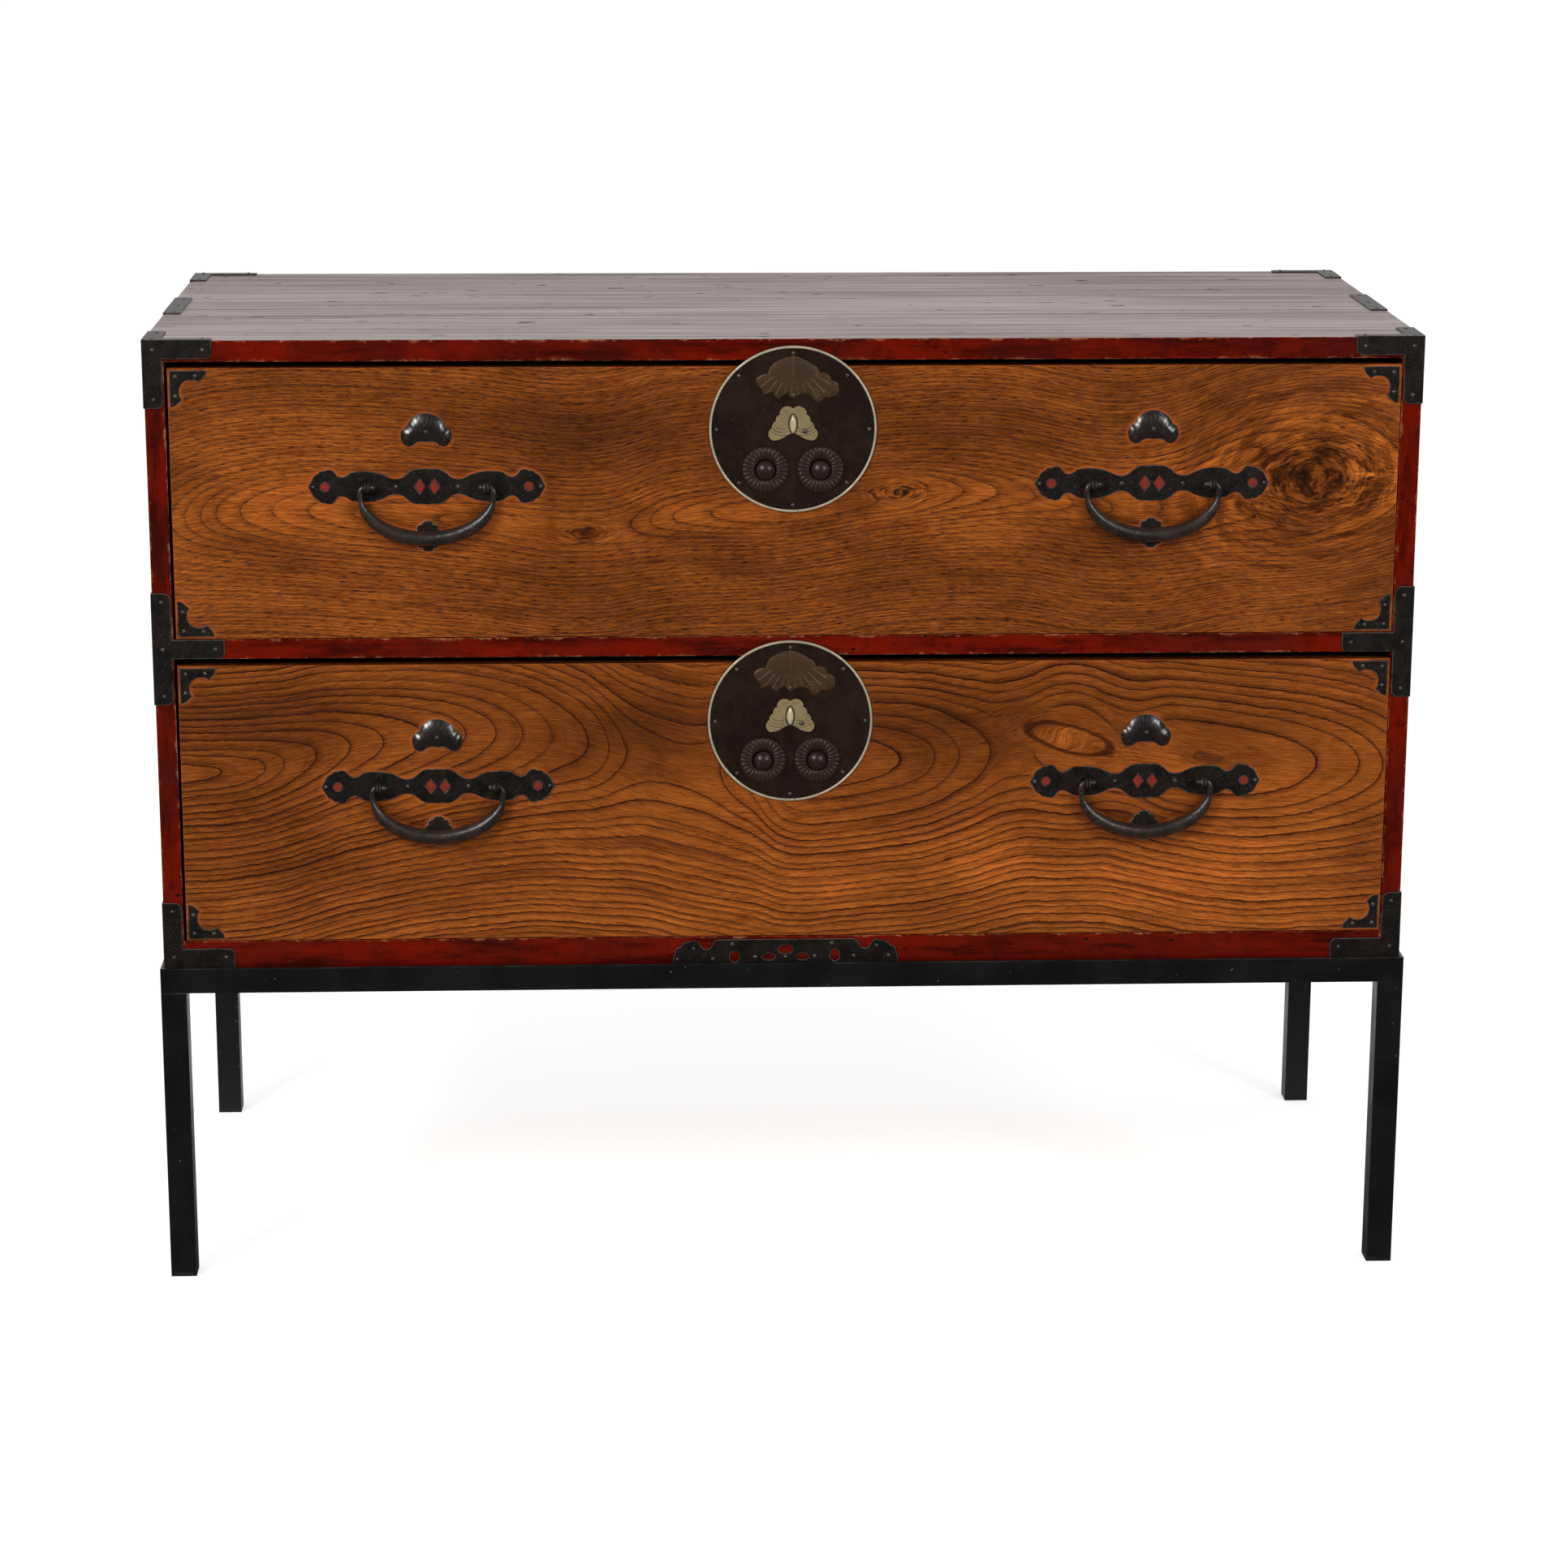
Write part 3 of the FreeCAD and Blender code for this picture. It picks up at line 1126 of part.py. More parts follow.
# Quarter of a handle plate from the top of its middle to its right tip, in shares of half its
# length and of half its height.
HANDLE_QUARTER = [
    (0, 1.0), (0.024, 0.995), (0.046, 0.965), (0.09, 0.98), (0.125, 0.92), (0.167, 0.73),
    (0.2, 0.54), (0.262, 0.425), (0.325, 0.52), (0.4, 0.735), (0.5, 0.85), (0.58, 0.855),
    (0.64, 0.79), (0.667, 0.655), (0.7, 0.545), (0.735, 0.555), (0.76, 0.66), None,
    (0.787, 0.89), (0.825, 0.955), (0.862, 0.87), (0.892, 0.865), (0.91, 0.74), (0.945, 0.625),
    (0.965, 0.42), None, (1.0, 0),
]
DIAMOND = [(0, 0.5), None, (0.5, 0), None, (0, -0.5), None, (-0.5, 0), None, (0, 0.5)]
# Right half of the kidney-shaped boss from the middle of its top to the notch below, in shares of
# its width and height.
BOSS_HALF = [
    (0, 0.5), (0.2, 0.42), (0.36, 0.14), (0.395, 0.08), (0.43, 0.06), (0.5, -0.22),
    (0.43, -0.45), (0.36, -0.5), (0.24, -0.43), (0.15, -0.24), (0, -0.2),
]
# Quarter of the cloud-shaped striker plate, in shares of its width and height.
STRIKER_QUARTER = [
    (0, 0.5), (0.15, 0.49), (0.21, 0.39), (0.37, 0.35), (0.38, 0.22), (0.5, 0.14), (0.5, 0),
]
# Outline of a drawer's corner plate from its outer corner, in shares of its size.
CORNER_PLATE = [
    (0, 0), None, (1, 0), (0.985, -0.1), (0.93, -0.19), None, (0.79, -0.34), (0.73, -0.285),
    (0.62, -0.265), (0.345, -0.345), (0.265, -0.62), (0.285, -0.73), (0.34, -0.79), None,
    (0.19, -0.93), (0.1, -0.985), (0, -1), None, (0, 0),
]
# Nails of a corner plate, in the same shares.
CORNER_NAILS = ((0.16, -0.16), (0.7, -0.145), (0.145, -0.7))


def make_handle_plates(prefix, drawer):
    """Backplates with cut-outs, one behind each bail."""
    name = f"{prefix}_handle_plates"
    blank = sheet_plate(
        f"{name}_blank",
        flat_wire(all_round(HANDLE_QUARTER), size.handle_plate_length / 2, size.handle_plate_height / 2),
        "Sizes.iron_thickness")
    tools = []
    for side in (-1, 1):
        hand = "left" if side < 0 else "right"
        diamond = sheet_plate(f"{name}_{hand}_diamond",
                              flat_wire(DIAMOND, size.diamond_width, size.diamond_height),
                              "Sizes.iron_thickness")
        diamond.Placement = at(RIGHTWARD * (side * size.diamond_out))
        eyelet = rod(f"{name}_{hand}_eyelet", "Sizes.eyelet_radius", "Sizes.iron_thickness",
                     RIGHTWARD * (side * size.eyelet_out), FORWARD)
        post_hole = rod(f"{name}_{hand}_post_hole", "Sizes.post_radius + Sizes.post_clearance",
                        "Sizes.iron_thickness", RIGHTWARD * (side * size.post_out), FORWARD)
        tools += [diamond, eyelet, post_hole]
    plate = cut(f"{name}_plate", blank, tools)
    keep(name, copies(name, plate, [at(centre) for centre in drawer.handle_centres]))


def make_posts(prefix, drawer):
    """Posts through the front: an eye for the bail's pin, a shank, and tails bent over behind."""
    name = f"{prefix}_handle_posts"
    half_width = size.eye_width / 2
    pivot = FORWARD * pivot_standoff
    tail_corner = Vector(-size.clinch_length / 2, size.front_thickness, -size.post_radius)
    eye = fuse(f"{name}_solid", [
        rod(f"{name}_eye", "Sizes.eye_radius", "Sizes.eye_width",
            pivot - RIGHTWARD * half_width, RIGHTWARD),
        rod(f"{name}_shank", "Sizes.post_radius",
            "Sizes.iron_thickness + Sizes.rest_gap + Sizes.bail_mid_diameter / 2"
            " + Sizes.front_thickness", pivot, BACKWARD),
        box(f"{name}_tails", "Sizes.clinch_length", "Sizes.clinch_thickness",
            "2 * Sizes.post_radius", tail_corner),
    ])
    bore = rod(f"{name}_bore", "Sizes.bail_pin_radius + Sizes.pin_clearance",
               "2 * Sizes.eye_width", pivot - RIGHTWARD * size.eye_width, RIGHTWARD)
    post = cut(f"{name}_post", eye, [bore])
    places = [
        at(centre + RIGHTWARD * (side * size.post_out))
        for centre in drawer.handle_centres for side in (-1, 1)
    ]
    keep(name, copies(name, post, places))


def bail_sections():
    """Middle, direction and radius of round sections along the bail, pivot to pivot."""
    arm = size.bail_arm_radius
    half_width = size.bail_width / 2 - arm
    sag = size.bail_fall - size.bail_shoulder - bail_mid_radius
    start = size.post_out + size.eye_width / 2 + size.rest_gap
    bend = half_width - start
    turn = math.sqrt(0.5)
    elbow = Vector(start + bend * turn, 0, bend * (turn - 1))
    right_end = [
        (Vector(start, 0, 0), Vector(1, 0, 0), size.bail_pin_radius),
        (elbow, Vector(turn, 0, -turn), (size.bail_pin_radius + arm) / 2),
        (Vector(half_width, 0, -bend), Vector(0, 0, -1), arm),
    ]
    curve = []
    steps = 8
    for step in range(steps + 1):
        angle = math.pi * step / steps
        spot = Vector(half_width * math.cos(angle), 0, -size.bail_shoulder - sag * math.sin(angle))
        heading = Vector(-half_width * math.sin(angle), 0, -sag * math.cos(angle))
        rise = math.sin(angle)
        swell = (rise + rise ** 2 * (3 - 2 * rise ** 2)) / 2
        curve.append((spot, heading, arm + (bail_mid_radius - arm) * swell))
    left_end = [
        (Vector(-spot.x, 0, spot.z), Vector(heading.x, 0, -heading.z), radius)
        for spot, heading, radius in reversed(right_end)
    ]
    return right_end + curve + left_end


def make_bail():
    """Forged bail that hangs from its pivot line, with its pins and knobs."""
    wires = []
    for number, (spot, heading, radius) in enumerate(bail_sections(), start=1):
        section = doc.addObject("Part::Circle", f"bail_section_{number}")
        section.Radius = radius
        section.Placement = Placement(spot, Rotation(BACKWARD, Vector(), heading, "ZXY"))
        wires.append(section)
    grip = doc.addObject("Part::Loft", "bail_grip")
    grip.Sections = wires
    grip.Solid = True
    pieces = [grip]
    start = size.post_out + size.eye_width / 2 + size.rest_gap
    reach = "Sizes.eye_width + 2 * Sizes.rest_gap + Sizes.bail_knob_radius"
    for side, heading in (("right", Vector(-1, 0, 0)), ("left", Vector(1, 0, 0))):
        outer = heading * -start
        pieces.append(rod(f"bail_{side}_pin", "Sizes.bail_pin_radius", reach, outer, heading))
        knob = doc.addObject("Part::Sphere", f"bail_{side}_knob")
        bind(knob, Radius="Sizes.bail_knob_radius")
        knob_in = size.eye_width + 2 * size.rest_gap + size.bail_knob_radius
        knob.Placement = at(outer + heading * knob_in)
        pieces.append(knob)
    return fuse("bail_solid", pieces)


def make_bails(prefix, drawer, master):
    """Left and right bail of a drawer."""
    pivot = FORWARD * pivot_standoff
    for side, centre in zip(("left", "right"), drawer.handle_centres):
        name = f"{prefix}_bail_{side}"
        bail = group(name, [master])
        bail.Placement = at(centre + pivot)
        keep(name, bail)


def make_bail_guards(prefix, drawer):
    """Domed boss above each handle, and the plate that its bail strikes below."""
    name = f"{prefix}_bail_guards"
    blank = sheet_plate(f"{name}_boss_blank",
                        flat_wire(both_sides(BOSS_HALF), size.boss_width, size.boss_height),
                        "Sizes.boss_dome")
    ball = doc.addObject("Part::Sphere", f"{name}_ball")
    bulge = "(Sizes.boss_dome - Sizes.boss_edge)"
    radius = f"(((Sizes.boss_width / 2) ^ 2 + {bulge} ^ 2) / (2 * {bulge}))"
    bind(ball, Radius=radius)
    ball_radius = cap_radius(size.boss_width / 2, size.boss_dome - size.boss_edge)
    ball.Placement = at(BACKWARD * (ball_radius - size.boss_dome))
    boss = doc.addObject("Part::MultiCommon", f"{name}_boss")
    boss.Shapes = [blank, ball]
    striker = sheet_plate(f"{name}_striker",
                          flat_wire(all_round(STRIKER_QUARTER), size.striker_width, size.striker_height),
                          "Sizes.iron_thickness")
    bosses = [at(centre + UPWARD * drawer.boss_rise) for centre in drawer.handle_centres]
    strikers = [at(centre - UPWARD * drawer.striker_fall) for centre in drawer.handle_centres]
    pieces = [copies(f"{name}_bosses", boss, bosses), copies(f"{name}_strikers", striker, strikers)]
    keep(name, group(name, pieces))


def corner_turns(drawer):
    """Origin and the two outline directions of each corner plate of a drawer."""
    inset = size.corner_plate_inset
    left = front_left + inset
    right = front_right - inset
    low = drawer.front_bottom + inset
    high = drawer.front_top - inset
    return (
        (Vector(left, drawer_face, high), 0),
        (Vector(right, drawer_face, high), 90),
        (Vector(right, drawer_face, low), 180),
        (Vector(left, drawer_face, low), 270),
    )


def make_corner_plates(prefix, drawer):
    """Small iron plates on the corners of a drawer front."""
    name = f"{prefix}_corner_plates"
    plate = sheet_plate(f"{name}_plate",
                        flat_wire(CORNER_PLATE, size.corner_plate_size, size.corner_plate_size),
                        "Sizes.iron_thickness")
    places = [Placement(spot, Rotation(BACKWARD, turn)) for spot, turn in corner_turns(drawer)]
    keep(name, copies(name, plate, places))


def drawer_nail_places(drawer):
    """Placements of the nails in a drawer's ironwork."""
    places = []
    plate_face = FORWARD * size.iron_thickness
    for centre in drawer.handle_centres:
        for out in (size.plate_nail_inner, size.plate_nail_outer):
            for side in (-1, 1):
                places.append(at(centre + plate_face + RIGHTWARD * (side * out)))
        boss_face = FORWARD * (size.boss_dome - size.nail_head_height / 2)
        places.append(at(centre + boss_face + UPWARD * drawer.boss_rise))
    for spot, turn in corner_turns(drawer):
        about = Rotation(BACKWARD, turn)
        for share_x, share_z in CORNER_NAILS:
            offset = Vector(share_x, 0, share_z) * size.corner_plate_size
            places.append(at(spot + plate_face + about.multVec(offset)))
    lock_face = drawer.lock_centre + FORWARD * size.lock_thickness
    places += [at(lock_face + ray) for ray in rim_nail_rays()[1:]]
    leaf_nail = UPWARD * (size.leaf_rise + LEAF_NAIL_RISE * size.leaf_height)
    places.append(at(lock_face + leaf_nail + FORWARD * size.leaf_thickness))
    return places


def rim_nail_rays():
    """Middle of the lock plate to each nail round its rim; the first is straight up."""
    count = int(size.rim_nails)
    angles = [2 * math.pi * index / count for index in range(count)]
    reach = size.rim_nail_circle
    return [Vector(math.sin(angle), 0, math.cos(angle)) * reach for angle in angles]


# Nail low on the leaf, in shares of its height.
LEAF_NAIL_RISE = 0.17


def make_nails():
    """Nails of the case and of each drawer; a drawer's rivets are kept with its nails.

    The top nail of a lock plate stands in front of the rail above the drawer, so it is a short
    rivet that only goes through the plate.
    """
    nail = make_nail("nail", "Sizes.nail_length")
    short = make_nail("short_nail", "Sizes.lock_thickness")
    keep("case_nails", copies("case_nails", nail, case_nail_places()))
    for prefix, drawer in DRAWERS.items():
        name = f"{prefix}_nails"
        driven = copies(f"{name}_driven", nail, drawer_nail_places(drawer))
        top = drawer.lock_centre + FORWARD * size.lock_thickness + rim_nail_rays()[0]
        riveted = copies(f"{name}_riveted", short, [at(top)])
        keep(name, group(name, [driven, riveted, make_rivet(prefix, drawer)]))


# ---------------------------------------------------------------------------------------------
# Whole chest
# ---------------------------------------------------------------------------------------------

def make_case():
    """Boards and ironwork of the case."""
    make_top()
    side_board("case_left_side", case_left)
    side_board("case_right_side", inner_right)
    make_back()
    make_rails_and_boards()
    make_cleats_and_stops()
    make_corner_caps()
    make_edge_straps()
    make_tee_plates()
    make_base_corners()
    make_base_plate()


def make_drawers():
    """Both drawers with their locks and handles."""
    bail = make_bail()
    for prefix, drawer in DRAWERS.items():
        make_front(prefix, drawer)
        make_box(prefix, drawer)
        make_lock_plate(prefix, drawer)
        make_ornaments(prefix, drawer)
        make_buttons(prefix, drawer)
        make_keyhole_cover(prefix, drawer)
        make_lock_works(prefix, drawer)
        make_handle_plates(prefix, drawer)
        make_posts(prefix, drawer)
        make_bails(prefix, drawer, bail)
        make_bail_guards(prefix, drawer)
        make_corner_plates(prefix, drawer)


def check_and_export():
    """Stop on anything that failed, then write one file for each node."""
    doc.recompute()
    for item in doc.Objects:
        if {"Invalid", "Error"} & set(item.State):
            raise RuntimeError(f"{item.Label} is {item.State}")
    for name, item in nodes.items():
        if item.Shape.isNull() or not item.Shape.isValid() or not item.Shape.Solids:
            raise RuntimeError(f"{name} has no valid solid")
    os.makedirs("parts", exist_ok=True)
    for name, item in nodes.items():
        item.Shape.exportStep(f"parts/{name}.step")


make_stand()
make_case()
make_drawers()
make_nails()
check_and_export()
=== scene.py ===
"""Looks of a two-drawer Japanese clothes chest on a steel stand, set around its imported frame."""

import math

import bpy
from bpy.props import FloatProperty, FloatVectorProperty, IntProperty, PointerProperty
from mathutils import Matrix, Vector
from mathutils.kdtree import KDTree


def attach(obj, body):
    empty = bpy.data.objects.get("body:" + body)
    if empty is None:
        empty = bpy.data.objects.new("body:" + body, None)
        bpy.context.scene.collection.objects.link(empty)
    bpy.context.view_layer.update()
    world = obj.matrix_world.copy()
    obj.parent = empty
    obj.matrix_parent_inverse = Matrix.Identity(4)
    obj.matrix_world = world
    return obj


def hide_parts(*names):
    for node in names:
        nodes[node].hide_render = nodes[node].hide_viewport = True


bl_info = {
    "name": "Lacquered Two-Drawer Chest",
    "version": (1, 0, 0),
    "blender": (4, 5, 0),
    "location": "View3D > Sidebar > Chest",
    "description": "Finishes and small ironwork of a lacquered chest with forged handles",
    "category": "Object",
}

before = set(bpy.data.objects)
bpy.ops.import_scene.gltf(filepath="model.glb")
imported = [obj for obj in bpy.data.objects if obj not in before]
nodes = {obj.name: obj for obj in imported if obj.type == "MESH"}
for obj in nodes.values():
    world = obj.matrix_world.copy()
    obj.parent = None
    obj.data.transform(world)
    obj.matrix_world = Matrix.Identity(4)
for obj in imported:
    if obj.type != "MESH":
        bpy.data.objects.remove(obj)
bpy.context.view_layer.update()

# places on the chest, in millimetres unless MM stands beside them
MM = 0.001
DRAWERS = ("upper", "lower")
FACE_Y = -249.5 * MM
LOCK_Y = FACE_Y - 1.5 * MM
LOCKS = {"upper": (5.6, 845.3), "lower": (3.7, 561.0)}
HANDLES = {
    "upper": ((-341.5, 792.0), (349.0, 792.0)),
    "lower": ((-336.6, 498.7), (349.5, 498.7)),
}
BOSS_RISE = {"upper": 53.0, "lower": 49.3}
BOSS_HALF_WIDTH = 13.0
BOSS_TALLER = 2.4
LOCK_SHADOW = 95.0
TOP_SEAM_Y = -80.0
ROSETTE_OUT = 26.2
ROSETTE_FALL = 38.5
BUTTERFLY_RISE = 5.2
WING_SHEET = 1.2

# cut-outs of a handle plate: place from its middle, corners, half width, half height
CUT_OUTS = ((-96.5, 32, 4.4, 4.4), (-6.9, 4, 5.25, 7.5), (6.9, 4, 5.25, 7.5), (96.5, 32, 4.4, 4.4))
CUT_OUT_DEPTH = 0.7

# corners closer than this are merged
MERGE = 0.01 * MM
# faces of a boss and of a leaf
BOSS_GRAIN = 0.7
LEAF_GRAIN = 0.5
# a face that looks less than this to the front belongs to the outline
UPRIGHT = 0.6
# the outline of a nail hole this close to the middle is ignored
HOLE_REACH = 4 * MM


# ---------------- sizes and colours

def linear(level):
    """One screen colour level, 0 to 255, as light."""
    part = level / 255
    return part / 12.92 if part <= 0.04045 else ((part + 0.055) / 1.055) ** 2.4


def tint(red, green, blue):
    """Colour from screen levels."""
    return (linear(red), linear(green), linear(blue), 1.0)


def colour(name, description, red, green, blue):
    """Colour property with its default in screen levels."""
    return FloatVectorProperty(
        name=name, description=description, subtype="COLOR", size=4, min=0, max=1,
        default=tint(red, green, blue))


def length(name, description, millimetres):
    """Length property with its default in millimetres."""
    return FloatProperty(
        name=name, description=description, subtype="DISTANCE", unit="LENGTH", min=0,
        default=millimetres * MM)


def share(name, description, default):
    """Property from 0 to 1."""
    return FloatProperty(
        name=name, description=description, subtype="FACTOR", min=0, max=1, default=default)


class WoodFinish(bpy.types.PropertyGroup):
    """Zelkova fronts, lacquered frame and bare boards."""

    light: colour("Light wood", "Wood between the rings", 178, 96, 32)
    middle: colour("Middle wood", "Most of the wood", 126, 60, 12)
    deep: colour("Deep wood", "Streaks and shaded wood", 64, 25, 7)
    ring: colour("Ring line", "Open pores at the start of a ring", 34, 13, 8)
    ring_width: length("Ring width", "Wood of one ring on the lower front", 6.4)
    fine_ring_width: length("Fine ring width", "Wood of one ring on the upper front", 3.6)
    halo: colour("Rubbed wood", "Wood at rubbed edges and beside the iron", 202, 98, 38)
    gloss: share("Wood roughness", "Roughness of the rubbed finish", 0.22)
    red: colour("Red lacquer", "Frame around the drawers", 108, 17, 1)
    red_fresh: colour("Fresh red lacquer", "Lacquer that has kept its colour", 136, 27, 2)
    # red_dark serves darkened lacquer, and also painted shade beside other pieces
    red_dark: colour("Dark red lacquer", "Lacquer that has darkened", 58, 8, 3)
    red_worn: colour("Rubbed lacquer", "Ground coat at rubbed edges", 204, 132, 84)
    chip: colour("Chipped lacquer", "Chips in the red lacquer", 20, 8, 5)
    cutout: colour("Cut-out lacquer", "Red in the cut-outs of the iron", 142, 36, 8)
    cutout_dark: colour("Dark cut-out lacquer", "Darkened red in the cut-outs", 92, 18, 5)
    top: colour("Top lacquer", "Brown lacquer of the top", 110, 48, 38)
    top_streak: colour("Top streaks", "Darker streaks of the top", 52, 20, 18)
    dent: colour("Top dents", "Dents and the open seam of the top", 16, 9, 8)
    bare: colour("Bare board", "Boards inside and at the back", 176, 140, 96)
    bare_line: colour("Bare board lines", "Ring lines of the bare boards", 128, 92, 56)
    bare_stain: colour("Bare board stains", "Spots on the bare boards", 92, 66, 42)


class MetalFinish(bpy.types.PropertyGroup):
    """Forged iron, brass, bronze and the painted stand."""

    iron: colour("Iron", "Forged sheet and bars", 29, 25, 22)
    # iron_pale serves pale scuffs and rubbed edges, and along the edges also painted highlight
    iron_pale: colour("Rubbed iron", "Iron where hands and edges are rubbed", 176, 164, 148)
    iron_brown: colour("Brown patina", "Warm stain in the iron", 54, 38, 30)
    sheet: colour("Sheet iron", "Corner plates and handle plates", 18, 16, 14)
    nail: colour("Nail iron", "Domed nail heads", 66, 61, 56)
    lock_plate: colour("Lock plate iron", "Round lock plates", 30, 20, 15)
    button: colour("Button iron", "Domes in the rosettes", 38, 28, 23)
    rosette: colour("Rosette iron", "Petals round the domes", 46, 33, 26)
    brass: colour("Rim brass", "Rim of the lock plate", 208, 198, 170)
    cover: colour("Cover brass", "Butterfly over the keyhole", 166, 146, 104)
    body: colour("Body brass", "Polished body of the butterfly", 226, 214, 172)
    groove: colour("Brass grooves", "Engraved lines in the brass", 40, 31, 20)
    bronze: colour("Bronze", "Leaf ornament", 84, 61, 38)
    vein: colour("Leaf veins", "Engraved lines in the leaf", 116, 94, 66)
    paint: colour("Stand paint", "Black paint of the stand", 15, 15, 15)
    paint_dusty: colour("Dusty paint", "Paint with a grey film", 30, 29, 28)
    paint_rubbed: colour("Rubbed paint", "Rubbed edges of the stand", 104, 98, 88)
    paint_speck: colour("Paint specks", "Small chips in the paint", 120, 116, 108)
    wear_width: length("Edge wear", "Width of the rubbed line along an edge", 1.2)


class OrnamentSizes(bpy.types.PropertyGroup):
    """Rosettes, bosses, leaves, butterfly bodies and cut-outs."""

    petals: IntProperty(name="Petals", description="Petals of a rosette", min=8, default=28)
    petal_inner: length("Petal start", "Middle of a rosette to its petals", 9.3)
    petal_outer: length("Petal end", "Middle of a rosette to the petals' tips", 22.6)
    petal_height: length("Petal height", "Height of a petal above its ring", 2.4)
    rosette_base: length("Rosette base", "Sheet under the petals", 1.0)
    boss_edge: length("Boss edge", "Height of a boss at its outline", 0.9)
    boss_height: length("Boss height", "Height of a boss at its middle", 5.0)
    boss_reach: length("Boss swell", "Outline of a boss to its full height", 10.0)
    notch_fill: length("Notch fill", "How far the notch below a boss is drawn down", 8.0)
    leaf_edge: length("Leaf edge", "Height of the leaf at its outline", 0.5)
    leaf_height: length("Leaf height", "Height of the leaf at its middle", 1.8)
    leaf_reach: length("Leaf swell", "Outline of the leaf to its full height", 9.0)
    body_width: length("Body width", "Widest part of a butterfly's body", 6.6)
    body_length: length("Body length", "Body of a butterfly", 17.8)
    body_height: length("Body height", "Body of a butterfly above its wings", 3.5)
    cutout_gap: length("Cut-out gap", "Red infill to the cut iron", 0.15)


# ---------------- node helpers

COLUMN = 190
ROW = 230
ROWS = 8
VECTORS = ("Point", "Vector", "Normal")


class Value:
    """Output of a node. Sums, differences, products and quotients with it are Math nodes."""

    def __init__(self, net, socket):
        self.net = net
        self.socket = socket

    def __add__(self, other):
        return self.net.math("ADD", self, other)

    def __sub__(self, other):
        return self.net.math("SUBTRACT", self, other)

    def __rsub__(self, other):
        return self.net.math("SUBTRACT", other, self)

    def __mul__(self, other):
        return self.net.math("MULTIPLY", self, other)

    def __truediv__(self, other):
        return self.net.math("DIVIDE", self, other)

    def __abs__(self):
        return self.net.math("ABSOLUTE", self)


class Net:
    """Adds the nodes of one tree. An input is given a Value, a number, a vector or a colour."""

    def __init__(self, tree):
        self.tree = tree
        tree.nodes.clear()

    def add(self, kind, values=None, **settings):
        """One node of a kind, with its settings and its inputs by name or number."""
        made = self.tree.nodes.new("ShaderNode" + kind)
        count = len(self.tree.nodes)
        made.location = (COLUMN * (count // ROWS), -ROW * (count % ROWS))
        for key, value in settings.items():
            setattr(made, key, value)
        for key, value in (values or {}).items():
            self.put(made.inputs[key], value)
        return made

    def put(self, socket, value):
        """Links a Value or writes a constant."""
        if isinstance(value, Value):
            self.tree.links.new(value.socket, socket)
        else:
            socket.default_value = value

    def value(self, kind, values=None, output=0, **settings):
        """One output of a new node."""
        return Value(self, self.add(kind, values, **settings).outputs[output])

    def named(self, node):
        """All outputs of a node by name."""
        return {socket.name: Value(self, socket) for socket in node.outputs}

    def math(self, operation, first, second=0.0):
        """Math node."""
        return self.value("Math", {0: first, 1: second}, operation=operation)

    def most(self, first, second):
        """The larger of two numbers."""
        return self.math("MAXIMUM", first, second)

    def vector(self, operation, first, second=(0, 0, 0)):
        """Vector Math node."""
        return self.value("VectorMath", {0: first, 1: second}, operation=operation)

    def parts(self, vector):
        """X, Y and Z of a vector."""
        return self.named(self.add("SeparateXYZ", {0: vector})).values()

    def part(self, vector, axis):
        """X, Y or Z of a vector."""
        return self.value("SeparateXYZ", {0: vector}, axis)

    def together(self, x, y, z):
        """Vector from three numbers."""
        return self.value("CombineXYZ", {0: x, 1: y, 2: z})

    def mix(self, factor, first, second):
        """Mix of two colours."""
        return self.value("Mix", {0: factor, 6: first, 7: second}, 2, data_type="RGBA")

    def coats(self, shade, *coats):
        """Colour with coats laid over it in turn: each is a mask, its strength and its colour."""
        for mask, strength, coat in coats:
            shade = self.mix(mask * strength, shade, coat)
        return shade

    def blend(self, factor, first, second):
        """Mix of two numbers."""
        return self.value("Mix", {0: factor, 2: first, 3: second}, data_type="FLOAT")

    def ramp(self, value, low, high, first=0.0, last=1.0, kind="LINEAR"):
        """Straight change from first to last while value goes from low to high."""
        return self.value("MapRange", {0: value, 1: low, 2: high, 3: first, 4: last},
                          interpolation_type=kind)

    def steps(self, value, low, high, first=0.0, last=1.0):
        """Smooth change from first to last while value goes from low to high."""
        return self.ramp(value, low, high, first, last, "SMOOTHSTEP")

    def noise(self, vector, scale, detail=2.0, roughness=0.5, distortion=0.0):
        """Noise from 0 to 1."""
        return self.value("TexNoise", {"Vector": vector, "Scale": scale, "Detail": detail,
                                       "Roughness": roughness, "Distortion": distortion})

    def stretched_noise(self, vector, factors, detail=2.0, roughness=0.5, distortion=0.0):
        """Noise that changes faster along the parts with larger factors."""
        stretched = self.vector("MULTIPLY", vector, factors)
        return self.noise(stretched, 1.0, detail, roughness, distortion)

    def noise_along(self, value, scale):
        """Noise along one number."""
        return self.value("TexNoise", {"W": value, "Scale": scale, "Detail": 1.0},
                          noise_dimensions="1D")

    def curve(self, value, points, lowest, highest, low_x, high_x):
        """Smooth curve through (place, height) points, both in real units."""
        made = self.add("FloatCurve", {1: self.ramp(value, low_x, high_x)})
        line = made.mapping.curves[0]
        while len(line.points) < len(points):
            line.points.new(0.5, 0.5)
        for spot, (place, height) in zip(line.points, points):
            spot.location = ((place - low_x) / (high_x - low_x),
                             (height - lowest) / (highest - lowest))
        made.mapping.update()
        return self.ramp(Value(self, made.outputs[0]), 0.0, 1.0, lowest, highest)

    def group(self, name, **values):
        """Outputs of a placed shader group; its inputs are written with underscores."""
        made = self.add("Group")
        made.node_tree = bpy.data.node_groups[name]
        for key, value in values.items():
            self.put(made.inputs[key.replace("_", " ")], value)
        return self.named(made)

    def bump(self, height, distance, **values):
        """Normal from a height."""
        given = {"Height": height, "Distance": distance, "Strength": 1.0, **values}
        return self.value("Bump", given)

    def point(self):
        """Place on the object, in metres."""
        return self.value("TexCoord", output="Object")

